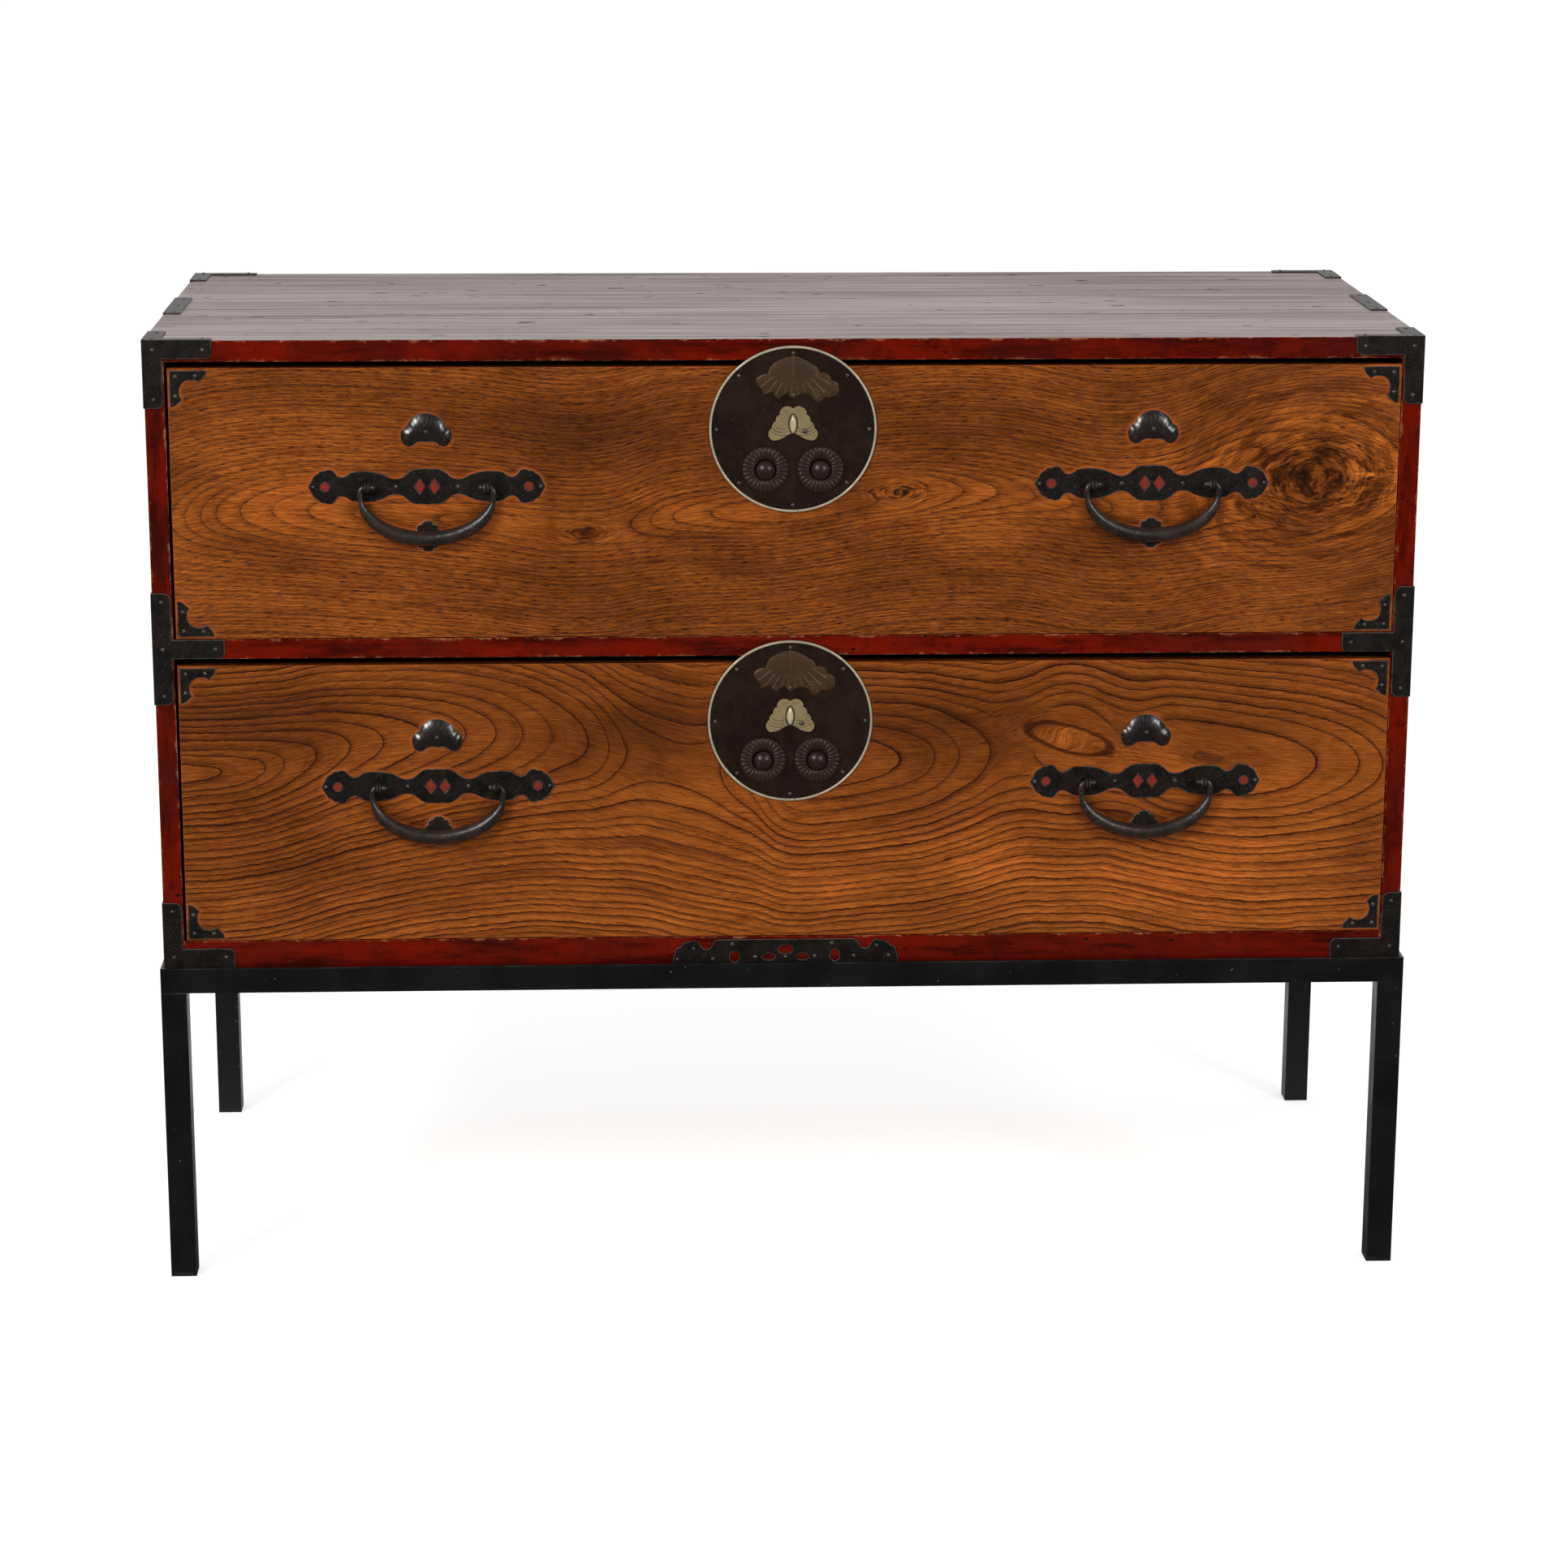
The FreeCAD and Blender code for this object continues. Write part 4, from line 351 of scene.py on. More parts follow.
    def facing(self):
        """Direction that the surface faces."""
        return self.value("NewGeometry", output="Normal")

    def surface(self, **values):
        """Principled shader on the material's output; its inputs are written with underscores."""
        named = {key.replace("_", " "): value for key, value in values.items()}
        self.add("OutputMaterial", {0: self.value("BsdfPrincipled", named)})


def new_group(name, inputs, outputs):
    """Empty shader group: its net, its given values, and out, which takes its results by name."""
    tree = bpy.data.node_groups.new(name, "ShaderNodeTree")
    net = Net(tree)
    for side, names in (("INPUT", inputs), ("OUTPUT", outputs)):
        for key in names:
            kind = "NodeSocketVector" if key in VECTORS else "NodeSocketFloat"
            tree.interface.new_socket(name=key, in_out=side, socket_type=kind)
    source = tree.nodes.new("NodeGroupInput")
    target = tree.nodes.new("NodeGroupOutput")

    def out(**values):
        for key, value in values.items():
            net.put(target.inputs[key], value)

    return net, net.named(source), out


def new_material(name):
    """Material with an empty net."""
    made = bpy.data.materials.new(name)
    made.use_nodes = True
    return made, Net(made.node_tree)


# ---------------- shared shader groups

def make_edge_wear():
    """Mask of edges where the finish is rubbed through."""
    net, given, out = new_group("Edge Wear", ("Radius", "Patches", "Share"), ("Mask", "Normal"))
    rounded = net.value("Bevel", {"Radius": given["Radius"]}, samples=4)
    turn = net.value("VectorMath", {0: rounded, 1: net.facing()}, "Value", operation="DOT_PRODUCT")
    edge = net.steps(turn, 0.995, 0.86)
    patches = net.noise(net.point(), given["Patches"], 3.0, 0.6)
    worn = net.steps(patches - (1.0 - given["Share"]), -0.12, 0.12)
    out(Mask=edge * worn)
    out(Normal=rounded)


def make_contact():
    """Mask of the surface right beside another piece."""
    net, given, out = new_group("Contact", ("Reach", "Full"), ("Mask",))
    openness = net.value("AmbientOcclusion", {"Distance": given["Reach"]}, "AO", samples=8)
    out(Mask=net.steps(openness, 0.97, given["Full"]))


def make_mottle():
    """Soft cloudy mask with finer spots in it."""
    net, given, out = new_group("Mottle", ("Vector", "Scale"), ("Cloud", "Spots"))
    cloud = net.noise(given["Vector"], given["Scale"], 4.0, 0.62, 0.4)
    fine = net.noise(given["Vector"], given["Scale"] * 9.0, 3.0, 0.7)
    out(Cloud=net.steps(cloud, 0.36, 0.66))
    out(Spots=net.steps(fine, 0.55, 0.72))


def make_board_rings():
    """Distance of a point of the board from the pith, which wanders along the board."""
    net, given, out = new_group(
        "Board Rings", ("Point", "Pith Height", "Pith Depth", "Wander", "Kinks", "Face"),
        ("Distance", "Slope", "Rise"))
    _, y, z = net.parts(given["Point"])
    broad = net.stretched_noise(given["Point"], (3.2, 6.0, 8.0))
    narrow = net.stretched_noise(given["Point"], (17.0, 20.0, 24.0), 3.0, 0.6)
    drift = (broad - 0.5) * given["Wander"] + (narrow - 0.5) * given["Kinks"]
    rise = z - given["Pith Height"] + drift
    depth = given["Pith Depth"] + (y - given["Face"])
    square = rise * rise + depth * depth
    distance = net.math("SQRT", square)
    out(Distance=distance)
    out(Rise=rise)
    out(Slope=net.most(abs(rise) / distance, 0.22))


def make_knot():
    """Knot: its own rings, and a place led aside so that the board's rings flow around it."""
    net, given, out = new_group(
        "Knot", ("Point", "Right", "Up", "Half Length", "Half Height", "Tilt", "Level"),
        ("Point", "Distance", "Inside", "Around", "Outline", "Core", "Arcs"))
    x, y, z = net.parts(given["Point"])
    ragged = (net.noise(given["Point"], 42.0, 3.0) - 0.5) * 0.3
    beside = x - given["Right"]
    across = beside / given["Half Length"]
    rise = z - given["Up"] - beside * given["Tilt"]
    above = rise / given["Half Height"]
    square = across * across + above * above
    away = net.math("SQRT", square) + ragged
    push = net.math("EXPONENT", square * -0.42)
    out(Point=net.together(x, y, z - rise * push))
    out(Distance=away * given["Half Height"] + given["Level"])
    out(Inside=net.steps(away, 1.0, 0.72))
    out(Around=net.steps(away, 2.3, 1.5))
    out(Outline=net.steps(abs(away - 0.95), 0.05, 0.2, 1.0, 0.0))
    out(Core=net.steps(away, 0.5, 0.1))
    # light and dark arcs around the knot: wood figure and painted sheen
    turned = net.vector("NORMALIZE", net.together(across, above, 0.0))
    right, up, _ = net.parts(turned)
    swirl = net.noise(net.together(right * 1.1, up * 1.1, away * 5.0), 1.0, 4.0, 0.65)
    near = net.math("EXPONENT", square * -0.3)
    out(Arcs=net.steps(swirl, 0.36, 0.64, -1.0, 1.0) * near)


def make_ring_lines():
    """Ring lines, pores and fibres of a ring-porous wood.

    Slope is how steeply the rings cut the face. Fibres run where Rise, the height above
    the pith, stays even.
    """
    net, given, out = new_group(
        "Ring Lines", ("Point", "Distance", "Rise", "Slope", "Ring Width"),
        ("Line", "Pores", "Fibres", "Streaks"))
    x, y, _ = net.parts(given["Point"])

    def grained(along, deep, across, detail, level="Distance"):
        """Noise drawn out along the grain; level is what stays even along a fibre."""
        place = net.together(x * along, y * deep, given[level] * across)
        return net.noise(place, 1.0, detail, 0.6)

    count = given["Distance"] / given["Ring Width"]
    uneven = (net.noise_along(count, 0.4) - 0.5) * 1.15
    frayed = (net.noise(given["Point"], 160.0, 3.0, 0.6) - 0.5) * 0.36
    number = frayed * given["Slope"] + (count + uneven)
    part = net.math("FRACT", number)
    width = given["Ring Width"] / given["Slope"]
    after = part * width
    before = (1.0 - part) * width
    crisp = net.most(net.steps(before, 0.2 * MM, 0.6 * MM, 1.0, 0.0),
                     net.steps(after, 0.7 * MM, 1.8 * MM, 1.0, 0.0))
    line = net.most(crisp, net.steps(after, 0.0, 6 * MM, 0.55, 0.0))
    weight = net.value("TexWhiteNoise", {"W": net.math("FLOOR", number)}, noise_dimensions="1D")
    fading = net.steps(grained(9.0, 30.0, 60.0, 2.0), 0.3, 0.55, 0.7, 1.0)
    strength = (weight * 0.38 + 0.62) * fading
    dashes = net.steps(grained(110.0, 300.0, 1500.0, 1.0, "Rise"), 0.52, 0.62)
    out(Line=line * strength)
    out(Pores=dashes * (line * 0.6 + 0.4))
    long = grained(14.0, 60.0, 900.0, 3.0, "Rise")
    short = grained(60.0, 200.0, 1700.0, 1.0, "Rise")
    out(Fibres=net.blend(0.5, long, short))
    out(Streaks=grained(5.0, 40.0, 170.0, 4.0))


ENGRAVED = ("Point", "Right", "Up", "Tallness", "Top", "Start", "End")
CUT_SOFTNESS = 0.3


def engraved_frame(net, given):
    """Where a point lies from an engraving's centre: across, above, away, and inside its band."""
    x, _, z = net.parts(given["Point"])
    across = x - given["Right"]
    above = z - given["Up"]
    tall = above / given["Tallness"]
    away = net.math("SQRT", across * across + tall * tall)
    soft = CUT_SOFTNESS * MM
    inside = net.steps(away - given["Start"], 0.0, soft) * net.steps(given["End"] - away, 0.0, soft)
    return across, above, away, inside * net.steps(given["Top"] - above, 0.0, soft)


def make_rays():
    """Engraved lines that spread from a centre, in a band between two distances."""
    net, given, out = new_group("Engraved Rays", ENGRAVED + ("Lines",), ("Height",))
    across, above, _, inside = engraved_frame(net, given)
    wave = net.math("SINE", net.math("ARCTAN2", above, across) * given["Lines"])
    out(Height=net.steps(wave, 0.84, 1.0) * inside)


def make_arcs():
    """Engraved rings round a centre, in a band between two distances."""
    net, given, out = new_group("Engraved Arcs", ENGRAVED + ("Spacing",), ("Height",))
    _, _, away, inside = engraved_frame(net, given)
    turns = (away - given["Start"]) / given["Spacing"]
    wave = net.math("COSINE", turns * (2 * math.pi))
    out(Height=net.steps(wave, 0.72, 0.97) * inside)


def make_spot():
    """Soft oval spot."""
    net, given, out = new_group(
        "Soft Spot", ("Point", "Right", "Up", "Half Length", "Half Height"), ("Mask",))
    x, _, z = net.parts(given["Point"])
    across = (x - given["Right"]) / given["Half Length"]
    above = (z - given["Up"]) / given["Half Height"]
    square = across * across + above * above
    out(Mask=net.math("EXPONENT", square * -1.0))


GROUP_MAKERS = (make_edge_wear, make_contact, make_mottle, make_board_rings, make_knot,
                make_ring_lines, make_rays, make_arcs, make_spot)


# ---------------- materials

BOARD_LEFT = -600.0
BOARD_RIGHT = 600.0
PITH_SPAN = 300.0
PITH_DEEPEST = 160.0
SPOT = ("Right", "Up", "Half_Length", "Half_Height")

# pith of each front in millimetres: lowest height, then (place along the board, height or depth)
PITHS = {
    "upper": {
        "base": 640.0,
        "height": ((-590, 760), (-510, 769), (-400, 766), (-300, 758), (-192, 748), (-107, 762),
                   (0, 768), (108, 782), (200, 784), (330, 768), (450, 792), (590, 800)),
        "depth": ((-590, 62), (-510, 46), (-440, 38), (-340, 33), (-240, 31), (-180, 32), (-100, 21),
                  (0, 14), (110, 20), (250, 34), (400, 46), (590, 60)),
        "wander": 4.5, "kinks": 1.2,
    },
    "lower": {
        "base": 340.0,
        "height": ((-590, 512), (-520, 516), (-400, 540), (-250, 548), (-150, 530), (-60, 512),
                   (60, 520), (180, 527), (275, 541), (350, 530), (450, 516), (540, 513),
                   (590, 510)),
        "depth": ((-590, 8), (-530, 14), (-462, 30), (-400, 43), (-300, 60), (-200, 82), (-110, 100),
                  (-40, 90), (30, 60), (110, 64), (180, 79), (220, 86), (275, 78), (330, 84),
                  (380, 77), (460, 78), (530, 86), (590, 98)),
        "wander": 11.0, "kinks": 6.0,
    },
}

# knots of each front, and islands, which have no dark middle: right, up, half length, half height,
# tilt, darkness of the middle, strength of the arcs around it (wood figure and painted sheen)
KNOTS = {
    "upper": ((508, 796, 74, 52, 0.1, 0.3, 0.75), (-192, 746, 22, 9, 0.0, 0.4, 0.3),
              (108, 784, 24, 10, 0.0, 0.5, 0.35)),
    "lower": ((275, 541, 42, 14, -0.25, 0.0, 0.15),),
}

# the broad light patch low on the right of the lower front is painted sheen
# darker and lighter places of each front: right, up, half length, half height, change of level
SHADES_AND_SHEEN = {
    "upper": ((-160, 850, 180, 50, -0.55), (190, 845, 150, 40, -0.04), (495, 790, 75, 50, -0.36),
              (-440, 722, 130, 34, -0.2), (60, 776, 26, 14, -0.5), (290, 745, 60, 14, -0.3),
              (552, 800, 44, 0.9, 0.6)),
    "lower": ((-480, 565, 160, 50, -0.46), (150, 560, 110, 46, -0.45), (-140, 560, 130, 50, -0.62),
              (570, 440, 30, 60, -0.3), (-470, 420, 90, 16, -0.35), (-520, 480, 90, 60, -0.25),
              (330, 395, 260, 50, 0.55), (272, 543, 34, 10, 0.6), (310, 552, 150, 40, -0.36),
              (-60, 390, 200, 40, 0.2)),
}


def eased(points, place):
    """Height of a list of points at a place, by straight runs."""
    for (low_x, low), (high_x, high) in zip(points, points[1:]):
        if low_x <= place <= high_x:
            return low + (high - low) * (place - low_x) / (high_x - low_x)
    return points[-1][1]


def pith_line(net, x, points, lowest, highest):
    """Pith's height or depth at a place along the board, in metres, from points in millimetres."""
    in_metres = [(place * MM, height * MM) for place, height in points]
    return net.curve(x, in_metres, lowest * MM, highest * MM, BOARD_LEFT * MM, BOARD_RIGHT * MM)


def soft_spot(net, point, *sizes):
    """Soft oval mask: right, up, half length and half height are in millimetres."""
    values = {key: size * MM for key, size in zip(SPOT, sizes)}
    return net.group("Soft Spot", Point=point, **values)["Mask"]


def touching(net, reach, full):
    """Mask of the surface beside another piece, reach millimetres wide.

    Full is the open share of the view at which the mask is whole.
    """
    return net.group("Contact", Reach=reach * MM, Full=full)["Mask"]


def zelkova(drawer, wood, ring_width, line_share, pore_share, contrast):
    """Rubbed zelkova of one drawer front, with its own pith and knots."""
    made, net = new_material(f"{drawer}_zelkova")
    pith = PITHS[drawer]
    point = net.point()
    x = net.part(point, "X")
    height = pith_line(net, x, pith["height"], pith["base"], pith["base"] + PITH_SPAN)
    depth = pith_line(net, x, pith["depth"], 0.0, PITH_DEEPEST)
    led, knots = point, []
    for right, up, half_length, half_height, tilt, dark, arcs in KNOTS[drawer]:
        level = math.hypot(up - eased(pith["height"], right), eased(pith["depth"], right))
        knot = net.group("Knot", Point=led, Right=right * MM, Up=up * MM, Tilt=tilt,
                         Half_Length=half_length * MM, Half_Height=half_height * MM,
                         Level=level * MM)
        knots.append((knot, dark, arcs))
        led = knot["Point"]
    board = net.group("Board Rings", Point=led, Pith_Height=height, Pith_Depth=depth,
                      Wander=pith["wander"] * MM, Kinks=pith["kinks"] * MM, Face=FACE_Y)

    distance, slope, core, outline, plain = board["Distance"], board["Slope"], 0.0, 0.0, 0.0
    for knot, dark, _ in knots:
        if dark == 0:
            plain = net.most(plain, knot["Around"])
            outline = net.most(outline, knot["Outline"])
            continue
        distance = net.blend(knot["Inside"], distance, knot["Distance"])
        slope = net.blend(knot["Inside"], slope, 0.8)
        core = net.most(core, knot["Core"] * dark)
    rings = net.group("Ring Lines", Point=point, Distance=distance, Rise=board["Rise"], Slope=slope,
                      Ring_Width=ring_width)
    clear = 1.0 - plain
    lines = net.most(rings["Line"] * clear, outline * 0.75)

    fibres = net.steps(rings["Fibres"], 0.5 - 0.16 / contrast, 0.5 + 0.16 / contrast)
    shade = net.mix(fibres, wood.middle, wood.light)
    streaks = net.steps(rings["Streaks"], 0.46, 0.74, 0.0, 0.7 / contrast) * clear
    shade = net.mix(streaks, shade, wood.deep)
    cloud = net.stretched_noise(led, (6.0, 6.0, 14.0), 4.0, 0.6)
    level = net.steps(cloud, 0.3, 0.7, 0.96 + 0.19 * contrast, 0.96 - 0.19 * contrast)
    # the spots darken or lighten the wood; the light ones include painted sheen
    for *sizes, change in SHADES_AND_SHEEN[drawer]:
        level = level * (soft_spot(net, point, *sizes) * change + 1.0)
    # knot arcs: wood figure and painted sheen
    for knot, _, arcs in knots:
        level = level * (knot["Arcs"] * arcs + 1.0)
    shade = net.value("HueSaturation", {"Value": level, "Color": shade})
    shade = net.coats(shade, (lines, line_share, wood.ring), (rings["Pores"], pore_share, wood.ring))
    shade = net.mix(core, shade, wood.ring)

    # a paler band within 4.5 mm of the iron, patchy and weaker near the lock
    patchy = net.steps(net.noise(point, 26.0, 3.0), 0.4, 0.6, 0.08, 0.85)
    by_lock = soft_spot(net, point, *LOCKS[drawer], LOCK_SHADOW, LOCK_SHADOW)
    pale_band_beside_iron = patchy * net.steps(by_lock, 0.3, 0.45, 1.0, 0.12)
    rubbed = net.group("Edge Wear", Radius=1.2 * MM, Patches=22.0, Share=0.8)
    # painted shade: the wood darkens within 30 mm of raised pieces such as the iron
    shade = net.coats(shade, (touching(net, 30.0, 0.45), 0.6, wood.deep),
                      (touching(net, 4.5, 0.72), pale_band_beside_iron, wood.halo),
                      (rubbed["Mask"], 0.7, wood.halo))
    relief = rings["Pores"] * -0.6 + lines * -0.4
    net.surface(Base_Color=shade, Roughness=net.blend(rings["Pores"], wood.gloss, 0.36),
                Specular_IOR_Level=0.2, Normal=net.bump(relief, 0.09 * MM, Normal=rubbed["Normal"]))
    return made


def case_lacquer(name, wood, along, smoky):
    """Old lacquer, red on upright faces and brown on faces that look up, with painted shade where it
    meets other pieces.

    Along stretches its streaks, and smoky is how much of it has darkened.
    """
    made, net = new_material(name)
    point = net.point()
    streak = net.stretched_noise(point, along, 5.0, 0.68)
    patch = net.group("Mottle", Vector=point, Scale=9.0)
    smoke = net.noise(point, 75.0, 4.0, 0.7)
    red = net.mix(net.steps(streak, 0.44, 0.3, 0.0, 0.55), wood.red, wood.red_fresh)
    red = net.mix(net.steps(streak, 0.46, 0.64), red, wood.red_dark)
    red = net.mix(patch["Cloud"] * smoky, red, wood.red_dark)
    red = net.mix(net.steps(smoke, 0.5, 0.72, 0.0, 0.2 + smoky), red, wood.red_dark)
    chips = net.steps(net.stretched_noise(point, (70.0, 60.0, 150.0), 3.0, 0.6), 0.67, 0.7)
    red = net.mix(chips, red, wood.chip)
    ragged = net.steps(net.noise(point, 55.0, 4.0, 0.7), 0.46, 0.66, 0.8 * MM, 6 * MM)
    rubbed = net.group("Edge Wear", Radius=ragged, Patches=90.0, Share=0.48)
    red = net.mix(rubbed["Mask"] * 0.9, red, wood.red_worn)

    fine = net.stretched_noise(point, (3.0, 230.0, 60.0), 3.0, 0.65)
    broad = net.stretched_noise(point, (2.4, 16.0, 8.0), 3.0, 0.6)
    streaks = net.steps(fine * 0.8 + broad * 0.25, 0.4, 0.66)
    seam = net.steps(abs(net.part(point, "Y") - TOP_SEAM_Y * MM), 1 * MM, 3.5 * MM, 0.8, 0.0)
    pits = net.steps(net.stretched_noise(point, (34.0, 80.0, 40.0)), 0.69, 0.72)
    dents = net.most(seam, pits)
    brown = net.mix(dents * 0.8, net.mix(streaks, wood.top, wood.top_streak), wood.dent)

    up = net.steps(net.part(net.facing(), "Z"), 0.5, 0.8)
    # painted shade: the lacquer darkens toward dark red within 8 mm of another piece
    shade = net.mix(touching(net, 8.0, 0.45) * 0.55, net.mix(up, red, brown), wood.red_dark)
    height = fine * 0.6 - (rubbed["Mask"] + net.blend(up, chips, dents))
    dull = net.steps(streaks, 0.0, 1.0, 0.26, 0.42) + dents * 0.25
    rough = net.blend(up, net.blend(patch["Cloud"], 0.16, 0.28), dull)
    back = net.steps(net.part(point, "Y"), -0.16, 0.24, 0.82, 0.18)
    net.surface(Base_Color=shade, Roughness=rough, Specular_IOR_Level=net.blend(up, 0.17, back),
                Normal=net.bump(height, 0.18 * MM, Normal=rubbed["Normal"]))
    return made


def bare_boards(wood):
    """Plain softwood boards inside the chest and at its back."""
    made, net = new_material("bare_boards")
    point = net.point()
    rings = net.stretched_noise(point, (1.4, 30.0, 44.0), 4.0, 0.55, 0.3)
    lines = net.steps(net.math("FRACT", rings * 12.0), 0.55, 1.0)
    patch = net.group("Mottle", Vector=point, Scale=5.0)
    shade = net.coats(wood.bare, (lines, 0.55, wood.bare_line),
                      (patch["Cloud"], 0.35, wood.bare_line),
                      (patch["Spots"], 0.25, wood.bare_stain))
    net.surface(Base_Color=shade, Roughness=net.blend(lines, 0.6, 0.75),
                Normal=net.bump(lines, 0.1 * MM), Specular_IOR_Level=0.3)
    return made


def cut_out_red(wood):
    """Red lacquer in the cut-outs of the iron."""
    made, net = new_material("cutout_lacquer")
    cloud = net.group("Mottle", Vector=net.point(), Scale=120.0)["Cloud"]
    shade = net.mix(cloud * 0.6, wood.cutout, wood.cutout_dark)
    net.surface(Base_Color=shade, Roughness=net.blend(cloud, 0.4, 0.6),
                Normal=net.bump(cloud, 0.1 * MM), Specular_IOR_Level=0.4)
    return made


def iron(name, metal, base, rough, wear, hammered, engraving=None, brown=0.35, scale=26.0,
         spots=0.06, shine=0.4, edge=0.85):
    """Forged iron with a dark patina.

    Wear is the share of its edges that is rubbed pale (partly painted highlight), hammered the
    depth of its dents in millimetres, and brown, spots and edge are how strongly those marks show.
    """
    made, net = new_material(name)
    point = net.point()
    patch = net.group("Mottle", Vector=point, Scale=scale)
    edges = net.group("Edge Wear", Radius=metal.wear_width, Patches=60.0, Share=wear)
    # pale edge line: rubbed iron, and painted highlight along the edges
    shade = net.coats(base, (patch["Cloud"], brown, metal.iron_brown),
                      (patch["Spots"], spots, metal.iron_pale),
                      (edges["Mask"], edge, metal.iron_pale))
    dents = net.noise(point, 130.0)
    pits = net.noise(point, 900.0, 2.0, 0.6)
    height = pits * 0.25 + dents * 0.75
    if engraving is not None:
        height = height - engraving(net, point)
    roughness = net.blend(edges["Mask"], net.blend(patch["Spots"], rough, rough + 0.15), 0.34)
    net.surface(Base_Color=shade, Roughness=roughness, Specular_IOR_Level=shine,
                Normal=net.bump(height, hammered * MM, Normal=edges["Normal"]))
    return made


def engraved(net, kind, point, right, up, start, end, own, top=100.0, tallness=1.0):
    """Rays or arcs round a centre; own is the number of rays or the spacing of the arcs.

    All lengths are in millimetres. Top cuts the figure off above its centre.
    """
    values = {"Lines": own} if kind == "Rays" else {"Spacing": own * MM}
    return net.group(f"Engraved {kind}", Point=point, Right=right * MM, Up=up * MM, Top=top * MM,
                     Tallness=tallness, Start=start * MM, End=end * MM, **values)["Height"]


def boss_rays(drawer):
    """Engraving of a drawer's bosses: rays that spread from below the middle of each."""
    def height(net, point):
        grooves = 0.0
        for right, up in HANDLES[drawer]:
            rays = engraved(net, "Rays", point, right, up + BOSS_RISE[drawer] - 12, 11, 30, 34.0)
            grooves = net.most(grooves, rays)
        return grooves * 1.2
    return height


def leaf_lines(net, point, drawer):
    """Engraving of the leaf: a fan of veins, an arched border, a spine and a curl."""
    right, up = LOCKS[drawer]
    fan = engraved(net, "Rays", point, right, up + 66, 24, 42, 30.0, top=-10)
    border = engraved(net, "Arcs", point, right, up + 26, 26.5, 29, 4, tallness=0.72)
    curl = engraved(net, "Arcs", point, right + 25, up + 31, 3, 11.5, 3)
    x, _, z = net.parts(point)
    beside = net.steps(abs(x - right * MM), 0.1 * MM, 0.4 * MM, 1.0, 0.0)
    spine = beside * net.steps(z, (up + 50) * MM, (up + 51) * MM)
    return net.most(net.most(fan, border), net.most(curl, spine))


def wing_lines(net, point, drawer):
    """Engraving of the butterfly: a groove round its body, arcs round a dot, and strokes above."""
    right, up = LOCKS[drawer]
    x = net.part(point, "X")
    lines = engraved(net, "Arcs", point, right, up + BUTTERFLY_RISE, 3, 5, 30, tallness=2.2)
    for side in (-1, 1):
        wing = net.steps((x - right * MM) * side, 4.6 * MM, 5.2 * MM)
        dot_x, dot_z = right + side * 10.3, up + 10
        ripples = engraved(net, "Arcs", point, dot_x, dot_z, 6.6, 19, 3.1, top=-2.5)
        dot = engraved(net, "Arcs", point, dot_x, dot_z, 0.9, 1.9, 1.3)
        strokes = engraved(net, "Rays", point, right + side * 5.8, up + 21.5, 2.5, 5.6, 17.0,
                           top=-1.5)
        for figure in (ripples * wing, dot * wing, strokes):
            lines = net.most(lines, figure)
    return lines


def body_bands(net, point, drawer):
    """Fine rings across a butterfly's body, the same on both drawers."""
    wave = net.math("SINE", net.part(point, "Z") * (2 * math.pi / (1.4 * MM)))
    return net.steps(wave, 0.3, 1.0, 0.0, 0.16)


def rim_joint(net, point, drawer):
    """Seam where the ends of the brass rim meet."""
    right, up = LOCKS[drawer]
    x, _, z = net.parts(point)
    seam = net.steps(abs(x - (right + 5.0) * MM), 0.2 * MM, 0.5 * MM, 1.0, 0.0)
    return seam * net.math("LESS_THAN", z, up * MM)


def brass(name, base, line_colour, rough, engraving, drawer, wear=0.6):
    """Old brass or bronze with a dull film, pale edges and engraved lines."""
    made, net = new_material(name)
    point = net.point()
    patch = net.group("Mottle", Vector=point, Scale=60.0)
    dull = [0.45 * part for part in base[:3]] + [1.0]
    bright = [min(1.0, 1.7 * part) for part in base[:3]] + [1.0]
    edges = net.group("Edge Wear", Radius=0.6 * MM, Patches=60.0, Share=wear)
    lines = engraving(net, point, drawer)
    # bright edges: rubbed brass, and painted highlight along the edges
    shade = net.coats(base, (patch["Cloud"], 0.5, dull), (patch["Spots"], 0.2, dull),
                      (edges["Mask"], 0.6, bright), (lines, 0.75, line_colour))
    height = net.noise(point, 500.0) - lines * 2.0
    net.surface(Base_Color=shade, Roughness=net.blend(patch["Cloud"], rough, rough + 0.14),
                Metallic=0.35, Normal=net.bump(height, 0.08 * MM, Normal=edges["Normal"]))
    return made


def stand_paint(metal):
    """Black brushed paint on steel, rubbed at the lips."""
    made, net = new_material("stand_paint")
    point = net.point()
    patch = net.group("Mottle", Vector=point, Scale=12.0)
    edges = net.group("Edge Wear", Radius=2 * MM, Patches=30.0, Share=0.45)
    specks = net.steps(net.noise(point, 210.0), 0.72, 0.74)
    shade = net.coats(metal.paint, (patch["Cloud"], 0.25, metal.paint_dusty),
                      (edges["Mask"], 0.4, metal.paint_rubbed), (specks, 0.7, metal.paint_speck))
    height = net.noise(point, 240.0, 3.0, 0.6) * 0.6 + specks
    net.surface(Base_Color=shade, Roughness=net.blend(patch["Cloud"], 0.38, 0.52),
                Normal=net.bump(height, 0.12 * MM, Normal=edges["Normal"]), Specular_IOR_Level=0.4)
    return made


# ---------------- modelling helpers

def pick_none():
    """Nothing selected, no edit mode."""
    if bpy.context.object and bpy.context.object.mode != "OBJECT":
        bpy.ops.object.mode_set(mode="OBJECT")
    bpy.ops.object.select_all(action="DESELECT")


def pick(*objects):
    """Only these objects selected, the first one active."""
    pick_none()
    for piece in objects:
        piece.select_set(True)
    bpy.context.view_layer.objects.active = objects[0]


